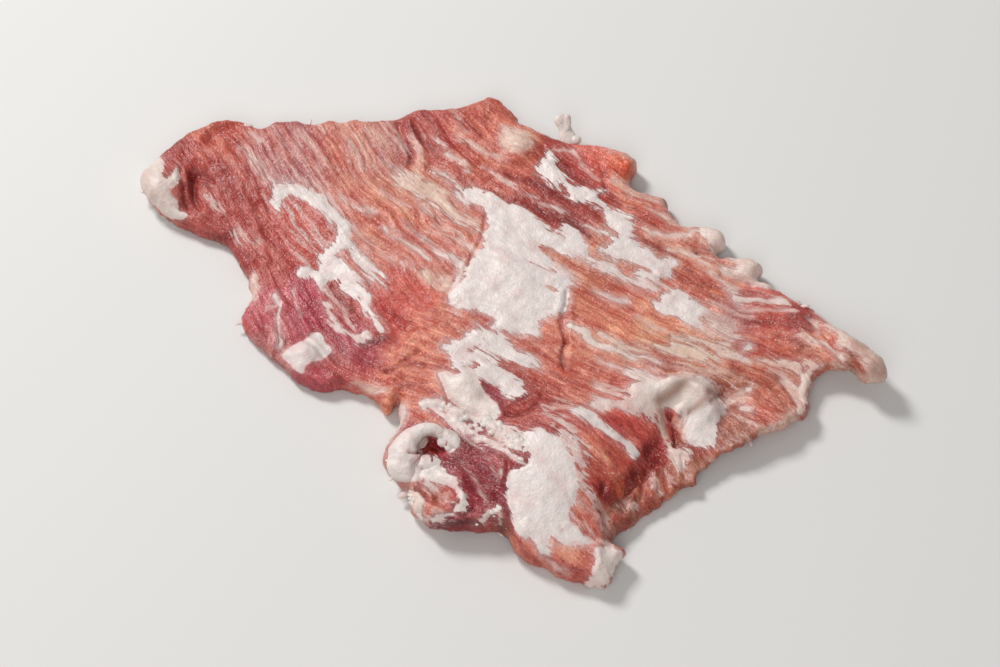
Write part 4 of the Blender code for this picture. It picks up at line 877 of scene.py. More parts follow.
# Small forms: half width in pixels, height in mm, path in pixels.
creases = {
    "slit": (2.2, -1.4, [(670, 416), (674, 426), (677, 438), (675, 446)]),
    "foldHollow": (5.0, -0.8, [(664, 398), (673, 392), (682, 386)]),
    "pitLine": (2.6, -2.2, [(192, 174), (193, 186), (195, 200), (200, 208)]),
    "pitLine2": (2.2, -1.2, [(192, 176), (204, 176), (214, 182)]),
    "capEdge": (2.2, -1.4, [(180, 172), (184, 184), (184, 198), (189, 212)]),
    "lobeFold": (4.4, 0.9, [(200, 136), (212, 124), (228, 121)]),
    "lobeFoldLow": (3.4, -0.45, [(206, 146), (218, 134), (236, 128)]),
    "nubSide": (3.0, -0.8, [(281, 352), (288, 342), (302, 338)]),
    "farDark": (3.0, -1.4, [(398, 124), (404, 140), (412, 156), (410, 164)]),
    "farRidge": (3.4, 1.3, [(408, 122), (414, 138), (422, 152), (424, 164)]),
    "farCrease2": (2.4, -1.0, [(440, 122), (450, 138), (462, 152), (478, 166)]),
    "orangeCrease": (2.2, -1.0, [(388, 372), (402, 362), (420, 352)]),
    "orangeCrease2": (2.2, -0.9, [(386, 384), (404, 378), (424, 380)]),
    "slabEdge": (2.0, -1.1, [(567, 292), (567, 303), (563, 312), (560, 322), (564, 334), (566, 341)]),
    "cleft": (1.8, -1.1, [(566, 341), (563, 350), (562, 360), (565, 370)]),
    "cleftLip": (3.0, 0.4, [(572, 304), (570, 320), (571, 332), (572, 346), (571, 362)]),
    "slabLip": (3.0, 0.3, [(560, 294), (560, 304), (555, 312), (546, 316)]),
    "rollFoot": (2.0, -1.1, [(506, 414), (516, 415), (527, 411), (538, 404)]),
    "rollHead": (2.0, -0.9, [(503, 404), (512, 401), (524, 398), (534, 393)]),
    "patchRim": (2.8, -1.1, [(509, 460), (507, 480), (509, 500), (514, 520), (522, 536), (534, 548)]),
    "patchRimRight": (2.2, -0.2, [(566, 450), (573, 470), (578, 490), (574, 504)]),
    "slabRim": (2.0, -0.9, [(447, 292), (468, 264), (482, 238), (486, 216)]),
    "slabFold": (2.2, -0.5, [(472, 300), (496, 306), (520, 318), (540, 330)]),
    "slabSwell": (14.0, 0.8, [(505, 262), (522, 282)]),
    "crumbleLine": (2.0, -0.7, [(438, 407), (446, 413), (452, 419)]),
    "crumbleLine2": (2.0, -0.6, [(461, 420), (470, 421), (478, 425)]),
    "crumbleLine3": (2.0, -0.6, [(479, 433), (492, 436), (504, 445)]),
    "crumbleSwell": (4.0, 0.7, [(428, 403), (437, 404)]),
    "crumbleSwell2": (4.5, 0.8, [(455, 413), (464, 413)]),
    "crumbleSwell3": (4.5, 0.8, [(483, 423), (494, 429)]),
    "crumbleSwell4": (4.0, 0.7, [(509, 437), (518, 442)]),
    "bumpCrease": (2.0, -1.0, [(452, 400), (462, 408), (478, 414)]),
    "bumpSide": (2.4, -1.0, [(440, 376), (446, 392), (450, 404)]),
    "skirtFoot": (2.6, -0.8, [(600, 508), (616, 500), (640, 482), (660, 462)]),
    "skirtCrease": (2.4, -0.9, [(646, 470), (643, 484), (641, 500)]),
    "skirtCrease2": (2.2, -0.8, [(664, 464), (666, 478), (669, 492)]),
    "skirtCrease3": (2.2, -0.9, [(682, 456), (684, 468), (685, 482)]),
    "skirtSwell": (3.2, 0.8, [(655, 472), (655, 484), (652, 498)]),
    "skirtSwell2": (3.2, 0.8, [(634, 492), (633, 504), (628, 516)]),
    "skirtSwell3": (3.0, 0.6, [(692, 458), (697, 470)]),
    "skirtSwell4": (3.0, 0.6, [(614, 508), (614, 520), (612, 530)]),
    "curlCrease": (1.8, -0.9, [(410, 452), (418, 453), (427, 450)]),
    "curlCreaseLow": (1.8, -0.6, [(422, 468), (420, 475), (420, 483)]),
    "curlHollow": (6.0, -1.0, [(422, 446), (426, 440), (431, 437)]),
    "endFold": (2.4, -2.4, [(398, 486), (410, 487), (420, 490), (428, 499)]),
    "endHole": (4.0, -1.4, [(436, 500), (446, 506), (452, 512)]),
    "endUnder": (2.4, -1.2, [(434, 524), (450, 519), (466, 514), (474, 508)]),
    "tipNotch": (3.0, -1.6, [(524, 550), (532, 556), (542, 560)]),
    "tipRim": (3.0, 1.2, [(596, 548), (600, 562), (594, 580)]),
    "wallFold": (5.0, -1.6, [(600, 508), (602, 496), (604, 486)]),
    "wallFold2": (2.6, -1.2, [(624, 486), (636, 468), (650, 450)]),
    "upperFold": (2.6, -0.6, [(600, 160), (603, 176), (606, 192)]),
    "cornerRim": (3.0, 0.8, [(606, 148), (624, 156), (630, 166)]),
    "upperFold2": (2.6, -1.0, [(600, 196), (614, 204), (630, 212)]),
    "lobeGap": (3.0, -1.6, [(698, 252), (712, 254), (722, 256)]),
    "lobeGap2": (3.0, -1.2, [(722, 276), (738, 282), (752, 286)]),
    "hookFold": (3.0, -1.4, [(810, 318), (826, 334), (840, 350)]),
    "hookFold2": (2.4, 1.2, [(800, 330), (816, 344), (834, 356)]),
    "purpleFold": (3.0, -0.4, [(452, 448), (462, 462), (474, 486), (486, 506)]),
    "neckFold": (3.4, 0.9, [(240, 190), (252, 214), (262, 240), (268, 262)]),
    "leftSeamStep": (3.0, -0.8, [(262, 190), (268, 206), (272, 220)]),
}

# Wavy pleats: centre and reach in pixels, pitch across the grain in mm, height in mm.
pleats = {
    "right": ((690, 355), (90, 17), 3.4, 0.7),
    "rightEdge": ((760, 300), (50, 26), 3.8, 0.5),
    "upperRight": ((650, 205), (50, 34), 4.2, 0.45),
    "middle": ((415, 235), (60, 50), 4.4, 0.35),
    "far": ((330, 150), (90, 26), 4.0, 0.35),
    "sheet": ((300, 335), (46, 40), 5.0, 0.25),
}
pleatBend = (3.2, 14, 6)  # radians, length along and across the grain in mm


def smallForms(pixels, across, along):
    # Creases of height * nearness to their path, and pleats of height * sin(across / pitch).
    total = np.zeros(len(pixels))
    for halfWidth, height, path in creases.values():
        total += height * nearPath(pixels, path, halfWidth)
    for (x, y), (reachX, reachY), pitch, height in pleats.values():
        share = np.exp(-(((pixels[:, 0] - x) / reachX) ** 2) - ((pixels[:, 1] - y) / reachY) ** 2)
        bend = pleatBend[0] * valueNoise(along / pleatBend[1], across / pleatBend[2], 71)
        total += height * share * np.sin(2 * math.pi * across / pitch + bend)
    return total


def paintedFat(pixels):
    # Depth into the fat in mm: greatest over all areas and strokes; their other values by weight.
    depth, weight = np.full(len(pixels), -30.0), np.full(len(pixels), 1e-9)
    values = np.zeros((3, len(pixels)))
    painted = [(areaDepth(pixels, corners), rest) for *rest, corners in fatAreas.values()]
    painted += [(strokeDepth(pixels, path), rest) for *rest, path in fatStrokes.values()]
    for inside, rest in painted:
        depth = np.maximum(depth, inside)
        share = np.exp(np.clip(inside / 1.5, -12, 3))
        weight += share
        values += share * np.reshape(rest, (3, 1))
    for path in leanStrokes.values():
        depth = np.minimum(depth, -strokeDepth(pixels, path))
    fray, cream, cover = values / weight
    return depth * mmPerPixel, fray, cream, cover


def areaDepth(pixels, corners):
    # Distance inside the smooth closed curve through the corners.
    depth = np.full(len(pixels), -30.0)
    low, high = np.min(corners, 0) - 20, np.max(corners, 0) + 20
    near = np.flatnonzero(((pixels > low) & (pixels < high)).all(1))
    depth[near] = edgeDistance(pixels[near], closedCurve(corners, 2.5))
    return depth


fatEdge = {
    "wander": 0.7,  # share of the folds' wander
    "tear": 1.7,  # of the fray
    "noises": [(0.85, 9, 1.5, 61, 3), (0.2, 2, 2, 65, 2)],  # share, pitch along and across, seed, layers
}


def fatAt(plan, pixels, along, across):
    # Painted fat with wandering edges, frayed along the grain by stretched noises.
    depth, fray, cream, cover = paintedFat(pixels + wander(plan, 80) * fatEdge["wander"] / mmPerPixel)
    torn = 0
    for share, pitchAlong, pitchAcross, seed, layers in fatEdge["noises"]:
        torn = torn + share * layeredNoise(along / pitchAlong, across / pitchAcross, seed, layers)
    return depth + torn * fray * fatEdge["tear"], fray, cream, cover


redPull = (0.85, 1.25, 1.15)  # how strongly a red stroke darkens red, green and blue


def leanColour(pixels):
    # Blended tones * (1 - strength * nearness to each red or painted-shade stroke * its pull on each
    # channel).
    patches = {tone: [(*place, colour) for place in places] for tone, (colour, places) in leanTones.items()}
    colour = linear(blendPatches(pixels, patches))
    for halfWidth, strength, path in redLeanAndShade.values():
        share = strength * nearPath(pixels, path, halfWidth)
        colour = colour * np.clip(1 - share[:, None] * redPull, 0.02, 2)
    return colour


def strokeDepth(pixels, path):
    # Half width less distance, both read along the stroke.
    path = np.array(path, float)
    best = np.full(len(pixels), -30.0)
    low, high = path[:, :2].min(0) - 30, path[:, :2].max(0) + 30
    near = np.flatnonzero(((pixels > low) & (pixels < high)).all(1))
    for start, end in zip(path[:-1], path[1:]):
        distance, share, _ = segmentShare(pixels[near], start[:2], end[:2])
        best[near] = np.maximum(best[near], start[2] + (end[2] - start[2]) * share - distance)
    return best


blendFloor = 0.02  # share of its weight that a patch keeps far away


def blendPatches(pixels, patches):
    # Each patch's value weighted by exp(-q) + floor / (1 + q)^2, where q = (distance / reach)^2.
    rows = [row for group in patches.values() for row in group]
    total, weight = 0, 1e-12
    for x, y, reach, value in rows:
        squared = ((pixels[:, 0] - x) ** 2 + (pixels[:, 1] - y) ** 2) / reach**2
        share = np.exp(-squared) + blendFloor / (1 + squared) ** 2
        total = total + share[:, None] * np.atleast_1d(value)
        weight = weight + share
    return total / np.reshape(weight, (-1, 1))


def linear(colour):
    # sRGB from 0 to 255 to linear light.
    c = np.asarray(colour, float) / 255
    return np.where(c <= 0.04045, c / 12.92, ((c + 0.055) / 1.055) ** 2.4)


def insideRows(ring, offsets):
    # Copies of the ring moved inwards by each offset, without the points that come too near it.
    rows = []
    for offset in offsets:
        row = ring - outwardNormals(ring) * offset
        rows.append(row[edgeDistance(row, ring) > 0.8 * offset])
    return np.vstack(rows)


def triangularGrid(ring, step, margin):
    # Rows of points step apart, every other row moved by half a step, jittered and kept inside.
    low, high = ring.min(0), ring.max(0)
    gap = step * math.sqrt(3) / 2
    x, y = np.meshgrid(np.arange(low[0], high[0], step), np.arange(low[1], high[1], gap))
    x = x + (np.arange(len(y)) % 2 * step / 2)[:, None]
    points = np.column_stack([x.ravel(), y.ravel()])
    jitter = np.random.default_rng(5).uniform(-0.12, 0.12, points.shape) * step
    points = points + jitter
    return points[edgeDistance(points, ring) > margin]


def triangulated(ring, inner):
    # Delaunay triangles inside the ring, turned to face up, as indices into both lists.
    points = np.vstack([ring, inner])
    count = len(ring)
    edges = [(i, (i + 1) % count) for i in range(count)]
    vectors = [Vector(p) for p in points.tolist()]
    _, _, faces, sources, _, _ = delaunay_2d_cdt(vectors, edges, [list(range(count))], 1, 1e-6)
    index = np.array([source[0] if source else -1 for source in sources])
    faces = index[np.array(faces)]
    a, b, c = points[faces[:, 0]], points[faces[:, 1]], points[faces[:, 2]]
    turn = (b[:, 0] - a[:, 0]) * (c[:, 1] - a[:, 1]) - (b[:, 1] - a[:, 1]) * (c[:, 0] - a[:, 0])
    faces[turn < 0] = faces[turn < 0][:, ::-1]
    return faces


def makeMesh(name, vertices, faces):
    # A smooth-shaded object at the origin from arrays of points and of equal-sided faces.
    mesh = bpy.data.meshes.new(name)
    mesh.vertices.add(len(vertices))
    mesh.vertices.foreach_set("co", np.asarray(vertices, np.float32).ravel())
    faces = np.asarray(faces, np.int32)
    mesh.loops.add(faces.size)
    mesh.loops.foreach_set("vertex_index", faces.ravel())
    mesh.polygons.add(len(faces))
    mesh.polygons.foreach_set("loop_start", np.arange(0, faces.size, faces.shape[1], dtype=np.int32))
    mesh.update(calc_edges=True)
    mesh.shade_smooth()
    made = bpy.data.objects.new(name, mesh)
    bpy.context.scene.collection.objects.link(made)
    return made


def addAttribute(piece, name, values):
    # One number, or one linear colour, at each vertex.
    kind = "FLOAT_COLOR" if np.ndim(values) == 2 else "FLOAT"
    layer = piece.data.attributes.new(name, kind, "POINT")
    if kind == "FLOAT":
        layer.data.foreach_set("value", np.asarray(values, np.float32))
    else:
        rgba = np.column_stack([values, np.ones(len(values))])
        layer.data.foreach_set("color", rgba.astype(np.float32).ravel())


def addMap(piece, name, coordinates):
    # A UV map that gives each face corner the coordinates of its vertex.
    layer = piece.data.uv_layers.new(name=name)
    corners = np.empty(len(piece.data.loops), np.int32)
    piece.data.loops.foreach_get("vertex_index", corners)
    layer.data.foreach_set("uv", coordinates[corners].astype(np.float32).ravel())


def steakRing():
    # The outline moved sideways by coarse and fine noise along its length, then scaled to size.
    ring = closedCurve([p for part in outline.values() for p in part], slab["topStep"])
    coarseSwing, coarseLength, fineSwing, fineLength = slab["torn"]
    at = np.arange(len(ring)) * slab["topStep"]
    swing = coarseSwing * valueNoise(at / coarseLength, at * 0, 21)
    swing += fineSwing * valueNoise(at / fineLength, at * 0 + 9.5, 22)
    swing *= 1 + hillsAt(ring, {"near": slab["ragged"]})
    ring = ring + outwardNormals(ring) * swing[:, None]
    return ring * (np.array([slab["length"], slab["width"]]) / np.ptp(ring, axis=0))


def underCeiling(z):
    # Bends heights smoothly under the top of the CAD box: c - log(1 + exp(s(c - z))) / s.
    ceiling, sharpness = cadBox[1][2] / mm, 3
    return ceiling - np.logaddexp(0, (ceiling - z) * sharpness) / sharpness


def centred(points):
    # Plan millimetres to metres about the frame's origin.
    return (points - (*planCentre, 0)) * mm


print("solving the grain")
grain = solveGrain()

print("shaping the steak")
ring = steakRing()
planCentre = (ring.min(0) + ring.max(0)) / 2
rings = [insideRows(ring, slab[side + "Rows"]) for side in ("top", "underside")]
grids = [triangularGrid(ring, slab[side + "Step"], slab[side + "Margin"]) for side in ("top", "underside")]
upperPoints, lowerPoints = (np.vstack(both) for both in zip(rings, grids))
upperFaces, lowerFaces = triangulated(ring, upperPoints), triangulated(ring, lowerPoints)

plan = np.vstack([ring, upperPoints, lowerPoints])
edge = np.concatenate([np.zeros(len(ring)), edgeDistance(np.vstack([upperPoints, lowerPoints]), ring)])
roughHeight = slabHeights(plan, edge, 0)[0]
pixels = photoPixels(plan[:, 0], plan[:, 1], roughHeight)
grainUv = grainAt(plan, grain)
along, across = grainUv.T
fatDepth, fatFray, fatCream, fatCover = fatAt(plan, pixels, along, across)

ridgeHeight, pitchAlong, pitchAcross = slab["fibreRidges"]
fibres = 1 - 2 * np.abs(layeredNoise(along / pitchAlong, across / pitchAcross, 31, 2))
lumpHeight, lumpPitch = slab["lumps"]
lumps = lumpHeight * layeredNoise(*(plan / lumpPitch).T, 41, 3)
fatLumpHeight, fatLumpPitch = slab["fatLumps"]
fatLumps = fatLumpHeight * layeredNoise(*(plan / fatLumpPitch).T, 45, 2)
isFat = smoothStep(*slab["fatRise"], fatDepth) * smoothStep(*slab["thickCover"], fatCover)
least, wholeAt = slab["ridgesInwards"]
inwards = least + (1 - least) * smoothStep(0, wholeAt, edge)
fine = isFat * (slab["fatProud"] + fatLumps) + lumps
fine = fine + ridgeHeight * fibres * (1 - slab["ridgesOnFat"] * isFat) * inwards
fine = fine + smallForms(pixels, across, along)
upper, lower = slabHeights(plan, edge, fine)
isLower = np.arange(len(plan)) >= len(ring) + len(upperPoints)
height = underCeiling(np.where(isLower, lower, upper))
vertices = centred(np.column_stack([plan, height]))

shift = len(upperPoints)
lowerFaces = np.where(lowerFaces >= len(ring), lowerFaces + shift, lowerFaces)[:, ::-1]
steak = makeMesh("steakBody", vertices, np.vstack([upperFaces, lowerFaces]))
print("steak triangles", len(steak.data.polygons))


def dress(piece, pixels, grainUv, fat):
    # Grain map, lean colour, fat, marbling and the painted shade on the fat, all read at each vertex's
    # pixel.
    addMap(piece, "grain", grainUv / 100)
    addAttribute(piece, "lean", leanColour(pixels))
    for name, values in zip(("fat", "fray", "cream", "cover"), fat):
        addAttribute(piece, name, values)
    addAttribute(piece, "marbling", blendPatches(pixels, marbling)[:, 0])
    shade = np.zeros(len(pixels))
    for halfWidth, strength, path in fatShades.values():
        shade += strength * nearPath(pixels, path, halfWidth)
    addAttribute(piece, "shade", np.clip(shade, 0, 1))


dress(steak, pixels, grainUv, (fatDepth, fatFray, fatCream, fatCover))


strandShape = {
    "smoothing": 2.4,  # mm along the path
    "bumpLength": 2.6,
    "bumpsAround": 1.3,
    "fray": 0.1,
    "creamShare": 0.3,  # of the cream painted beneath
    "cover": 0.97,
    "crackDepth": 0.5,
    "clearOfFloor": 0.1,
}


def strand(path, thinness, sides, step, roughness, seed):
    # A profile carried along a path of x, y, z, half width: ellipses, closed at both domed ends.
    # Each ring is centre + width * (cos a * sideways + thinness * sin a * upwards) * (1 + noise).
    path = np.array(path, float)
    travelled = np.concatenate([[0], np.cumsum(np.linalg.norm(np.diff(path[:, :3], axis=0), axis=1))])
    at = np.linspace(0, travelled[-1], max(8, round(travelled[-1] / step)))
    line = np.column_stack([np.interp(at, travelled, path[:, k]) for k in range(4)])
    for _ in range(round(strandShape["smoothing"] / step) * 3):
        line[1:-1] = (line[:-2] + 2 * line[1:-1] + line[2:]) / 4
    centres, widths = line[:, :3], line[:, 3]
    fromEnd = np.minimum(at, at[-1] - at) + 0.02 * widths
    widths = widths * np.sqrt(1 - (1 - np.clip(fromEnd / np.minimum(widths, at[-1] / 3), 0, 1)) ** 2)
    ahead = np.gradient(centres, axis=0)
    ahead /= np.linalg.norm(ahead, axis=1)[:, None]
    sideways = np.cross(ahead, (0, 0, 1))
    sideways /= np.linalg.norm(sideways, axis=1)[:, None]
    upwards = np.cross(sideways, ahead)
    turn = np.linspace(0, 2 * math.pi, sides, endpoint=False)
    around = strandShape["bumpsAround"] * np.cos(turn)[None, :] + 9 + 0 * at[:, None]
    swell = 1 + roughness * layeredNoise(at[:, None] / strandShape["bumpLength"] + 40, around, seed, 2)
    offset = np.cos(turn)[None, :, None] * sideways[:, None, :]
    offset = offset + thinness * np.sin(turn)[None, :, None] * upwards[:, None, :]
    rings = centres[:, None, :] + offset * (widths[:, None] * swell)[:, :, None]
    vertices = np.vstack([rings.reshape(-1, 3), centres[:1], centres[-1:]])
    count = len(at)
    i, k = np.meshgrid(np.arange(count - 1), np.arange(sides), indexing="ij")
    a, b = i * sides + k, i * sides + (k + 1) % sides
    halves = [np.stack([a, a + sides, b], -1), np.stack([b, a + sides, b + sides], -1)]
    walls = np.concatenate(halves).reshape(-1, 3)
    k = np.arange(sides)
    last = (count - 1) * sides
    start = np.column_stack([np.full(sides, count * sides), k, (k + 1) % sides])
    end = np.column_stack([np.full(sides, count * sides + 1), last + (k + 1) % sides, last + k])
    return vertices, np.vstack([walls, start, end])


def addStrands(name, strands, fatMm):
    # One piece of all the strands. Each is a path in pixels with z and half width, then its
    # thinness, sides, step and roughness.
    vertices, faces = [], []
    for number, (path, thinness, sides, step, roughness) in enumerate(strands):
        path = np.array(path, float)
        onTable = tablePoints(path[:, :2], path[:, 2])
        route = np.column_stack([onTable, path[:, 3]])
        points, triangles = strand(route, thinness, sides, step, roughness, 90 + number)
        faces.append(triangles + sum(len(v) for v in vertices))
        vertices.append(points)
    points = np.vstack(vertices)
    seen = photoPixels(*points.T)
    flow = grainAt(points[:, :2], grain)
    carved = smallForms(seen, flow[:, 1], flow[:, 0])
    piece = makeMesh(name, centred(points), np.vstack(faces))
    normals = np.empty(len(points) * 3, np.float32)
    piece.data.vertex_normals.foreach_get("vector", normals)
    points = points + normals.reshape(-1, 3) * np.minimum(carved, 0)[:, None]
    points[:, 2] = underCeiling(np.maximum(points[:, 2], strandShape["clearOfFloor"]))
    piece.data.vertices.foreach_set("co", centred(points).astype(np.float32).ravel())
    depth, _, cream, cover = fatAt(points[:, :2], seen, flow[:, 1], flow[:, 0])
    depth = np.maximum(depth, fatMm)
    for path in curlCracks.values():
        depth = np.minimum(depth, -strandShape["crackDepth"] * strokeDepth(seen, path))
    fray = np.full(len(points), strandShape["fray"])
    cream, cover = cream * strandShape["creamShare"], np.maximum(cover, strandShape["cover"])
    dress(piece, seen, flow, (depth, fray, cream, cover))
    return piece


crumbShape = {
    "rows": 7,
    "sides": 10,
    "sunk": 0.15,  # share of its size by which a crumb sinks in
    "squash": (0.7, 1.3),
    "flatness": 0.3,
    "bumps": 0.2,
    "fatDepth": 3,
    "fray": 0.1,
    "cream": 0.1,
}


def addCrumbs():
    # Crumbs of fat on the steak: centre + size * (squashed unit sphere) * (1 + noise).
    chance = np.random.default_rng(12)
    rows, sides = crumbShape["rows"], crumbShape["sides"]
    up = np.linspace(-math.pi / 2, math.pi / 2, rows)[:, None]
    turn = np.linspace(0, 2 * math.pi, sides, endpoint=False)[None, :]
    ball = np.stack([np.cos(up) * np.cos(turn), np.cos(up) * np.sin(turn), np.sin(up) + 0 * turn], -1)
    ball = ball.reshape(-1, 3)
    top = len(ring) + len(upperPoints)
    chosen, sizes = [], []
    for count, (small, large), path in crumbs.values():
        found = np.flatnonzero(strokeDepth(pixels[:top], path) > 0)
        chosen.append(chance.choice(found, count))
        sizes.append(chance.uniform(small, large, count))
    chosen, sizes = np.concatenate(chosen), np.concatenate(sizes)
    centres = np.column_stack([plan[chosen], height[chosen] - crumbShape["sunk"] * sizes])
    squash = chance.uniform(*crumbShape["squash"], (len(sizes), 1, 3)) * (1, 1, crumbShape["flatness"])
    swing = chance.uniform(-crumbShape["bumps"], crumbShape["bumps"], (len(sizes), len(ball), 1))
    bumps = 1 + swing * np.cos(up + 0 * turn).reshape(-1, 1)
    points = (centres[:, None, :] + sizes[:, None, None] * ball * squash * bumps).reshape(-1, 3)
    points[:, 2] = underCeiling(points[:, 2])
    i, k = np.meshgrid(np.arange(rows - 1), np.arange(sides), indexing="ij")
    a, b = i * sides + k, i * sides + (k + 1) % sides
    quads = np.stack([a, b, b + sides, a + sides], -1).reshape(-1, 4)
    faces = (quads[None] + (np.arange(len(sizes)) * len(ball))[:, None, None]).reshape(-1, 4)
    piece = makeMesh("fatCrumbs", centred(points), faces)
    seen = photoPixels(*points.T)
    full = np.ones(len(points))
    flow = grainAt(points[:, :2], grain)
    fat = [full * crumbShape[key] for key in ("fatDepth", "fray", "cream")]
    dress(piece, seen, flow, (*fat, full))
    return piece


# Curl: path of pixel x, y, height and half width in mm.
curl = {
    "roll": [(446, 438, 10.0, 2.0), (438, 432, 10.6, 2.5), (427, 430, 10.8, 3.1), (416, 435, 10.2, 3.9),
        (408, 445, 9.2, 4.9), (404, 457, 8.3, 5.8), (403, 467, 7.6, 5.8), (408, 475, 7.0, 4.4),
        (416, 480, 6.6, 3.0)],
    "lobe": [(440, 433, 10.0, 2.3), (447, 436, 9.9, 2.7), (453, 440, 9.6, 2.9), (457, 446, 9.2, 2.6),
        (456, 452, 8.8, 1.8)],
    "lobeLow": [(440, 436, 9.8, 2.2), (443, 441, 9.4, 2.2), (444, 447, 9.0, 1.7)],
    "lobeTip": [(449, 441, 9.4, 2.0), (450, 447, 9.1, 1.9), (450, 452, 8.8, 1.4)],
    "foot": [(416, 462, 8.2, 3.6), (426, 463, 8.0, 3.2), (434, 464, 7.6, 3.0), (442, 470, 7.0, 2.4),
        (446, 476, 6.6, 1.6)],
    "innerWall": [(417, 453, 7.4, 2.4), (419, 446, 8.2, 2.5), (424, 440, 8.8, 2.1), (430, 437, 9.2, 1.4)],
    "footLow": [(422, 474, 7.2, 3.0), (432, 474, 7.0, 2.8), (440, 478, 6.8, 2.2)],
}
rim = {
    "right": [(438, 472, 6.6, 2.4), (449, 477, 6.4, 2.3), (458, 485, 6.2, 2.2), (464, 495, 6.0, 1.7),
        (465, 503, 5.8, 1.6), (461, 509, 5.6, 1.5), (452, 513, 5.6, 1.4), (442, 517, 5.4, 1.4),
        (433, 520, 5.2, 1.2), (426, 520, 5.0, 1.0)],
    "left": [(423, 491, 6.6, 1.0), (420, 498, 6.2, 1.4), (419, 506, 5.8, 1.5), (420, 514, 5.4, 1.3),
        (425, 520, 5.0, 1.0)],
}
# Cracks in the curl: pixels and half width.
curlCracks = {
    "middle": [(407, 452, 0.3), (414, 452, 0.8), (421, 452, 1.2), (427, 450, 1.8)],
    "middleLow": [(424, 452, 1.0), (418, 459, 0.6), (413, 464, 0.2)],
    "right": [(431, 456, 1.2), (432, 461, 0.8)],
    "lower": [(422, 469, 0.3), (420, 475, 1.0), (420, 483, 0.8)],
    "lobe": [(446, 445, 0.5), (447, 441, 0.2)],
}
tag = {
    "strip": [(570, 147, 4.6, 3.9), (570, 142, 5.2, 3.8), (567, 135, 6.4, 2.7), (565, 128, 7.6, 2.3),
        (562, 121, 9.0, 2.9), (560, 114, 10.2, 3.7)],
    "heel": [(571, 141, 5.2, 2.2), (577, 139, 5.6, 2.2), (581, 142, 5.0, 1.6)],
    "crease": [(566, 132, 7.2, 1.2), (568, 122, 9.2, 1.4), (567, 114, 10.6, 1.3)],
}
# Crumbs: count, least and greatest size in mm, stroke of pixel x, y and half width.
crumbs = {
    "belowBump": (26, (0.7, 1.7), [(424, 404, 3), (438, 407, 4), (452, 414, 5), (468, 417, 5),
        (484, 424, 6), (498, 432, 7), (512, 440, 6), (524, 448, 4)]),
    "collar": (12, (0.5, 1.0), [(408, 491, 2), (410, 497, 4), (414, 503, 2)]),
    "endBits": (8, (0.5, 1.0), [(474, 524, 2), (484, 520, 3), (492, 513, 4), (498, 508, 3)]),
    "besideWhite": (4, (0.6, 1.3), [(524, 438, 3), (528, 448, 3), (522, 460, 3)]),
}
# Torn ends: path of pixel x, y, height and half width in mm.
tornEnds = {
    "leftTip": [(147, 191, 5.0, 1.6), (143, 192, 4.8, 1.0), (140, 191, 4.8, 0.6)],
    "leftUnder": [(151, 202, 4.4, 1.0), (149, 204, 4.0, 0.5)],
    "farSpike": [(309, 126, 5.0, 0.9), (310, 122, 5.6, 0.6), (311, 119, 6.0, 0.4)],
    "farLump": [(242, 127, 6.0, 1.0), (247, 124, 6.6, 1.5), (253, 127, 6.0, 0.9)],
    "edgeHook": [(799, 309, 6.0, 0.9), (803, 306, 6.6, 0.9), (807, 304, 7.0, 1.0), (810, 306, 6.8, 0.5)],
    "notchTag": [(800, 402, 5.0, 1.3), (806, 405, 4.6, 1.2), (810, 408, 4.2, 0.7)],
    "notchTag2": [(801, 408, 4.4, 1.0), (802, 413, 4.0, 0.4)],
    "skirtDrop": [(750, 440, 3.6, 0.6), (751, 444, 3.0, 0.7), (752, 447, 2.6, 0.3)],
    "nearFringe": [(620, 520, 2.6, 0.9), (626, 528, 2.2, 0.6), (630, 531, 2.0, 0.25)],
    "nearFringe2": [(617, 524, 2.2, 0.6), (623, 531, 1.8, 0.25)],
    "leftTag": [(245, 321, 3.6, 1.2), (239, 324, 3.2, 0.6), (235, 325, 3.0, 0.25)],
    "endFringe": [(408, 492, 4.0, 1.6), (402, 495, 3.4, 1.2), (398, 498, 3.0, 0.5)],
    "middleFringe": [(496, 526, 3.4, 1.4), (500, 532, 2.8, 0.9), (503, 537, 2.4, 0.3)],
    "curlFringe": [(390, 462, 6.0, 0.8), (385, 460, 6.0, 0.3)],
    "curlFringe2": [(394, 476, 5.0, 0.8), (389, 481, 4.4, 0.3)],
}

# Of each kind of strand: thinness, sides, step in mm and roughness.
strandKinds = {
    "curl": (0.66, 60, 0.4, 0.12),
    "rim": (0.9, 24, 0.4, 0.2),
    "torn": (0.6, 8, 0.5, 0.3),
    "tagStrip": (0.36, 20, 0.4, 0.1),
    "tagHeel": (0.7, 20, 0.4, 0.1),
    "tagCrease": (0.6, 20, 0.4, 0.1),
}


def kindOf(kind, paths):
    # Each path with the values of its kind.
    return [(path, *strandKinds[kind]) for path in paths]


print("rolling the curl and the tag")
fatCurl = addStrands("fatCurl", kindOf("curl", curl.values()) + kindOf("rim", rim.values()), 3)
fatCrumbs = addCrumbs()
fatTag = addStrands("fatTag", [(tag[k], *strandKinds["tag" + k.title()]) for k in tag], 3)
torn = addStrands("tornEnds", kindOf("torn", tornEnds.values()), 0.6)


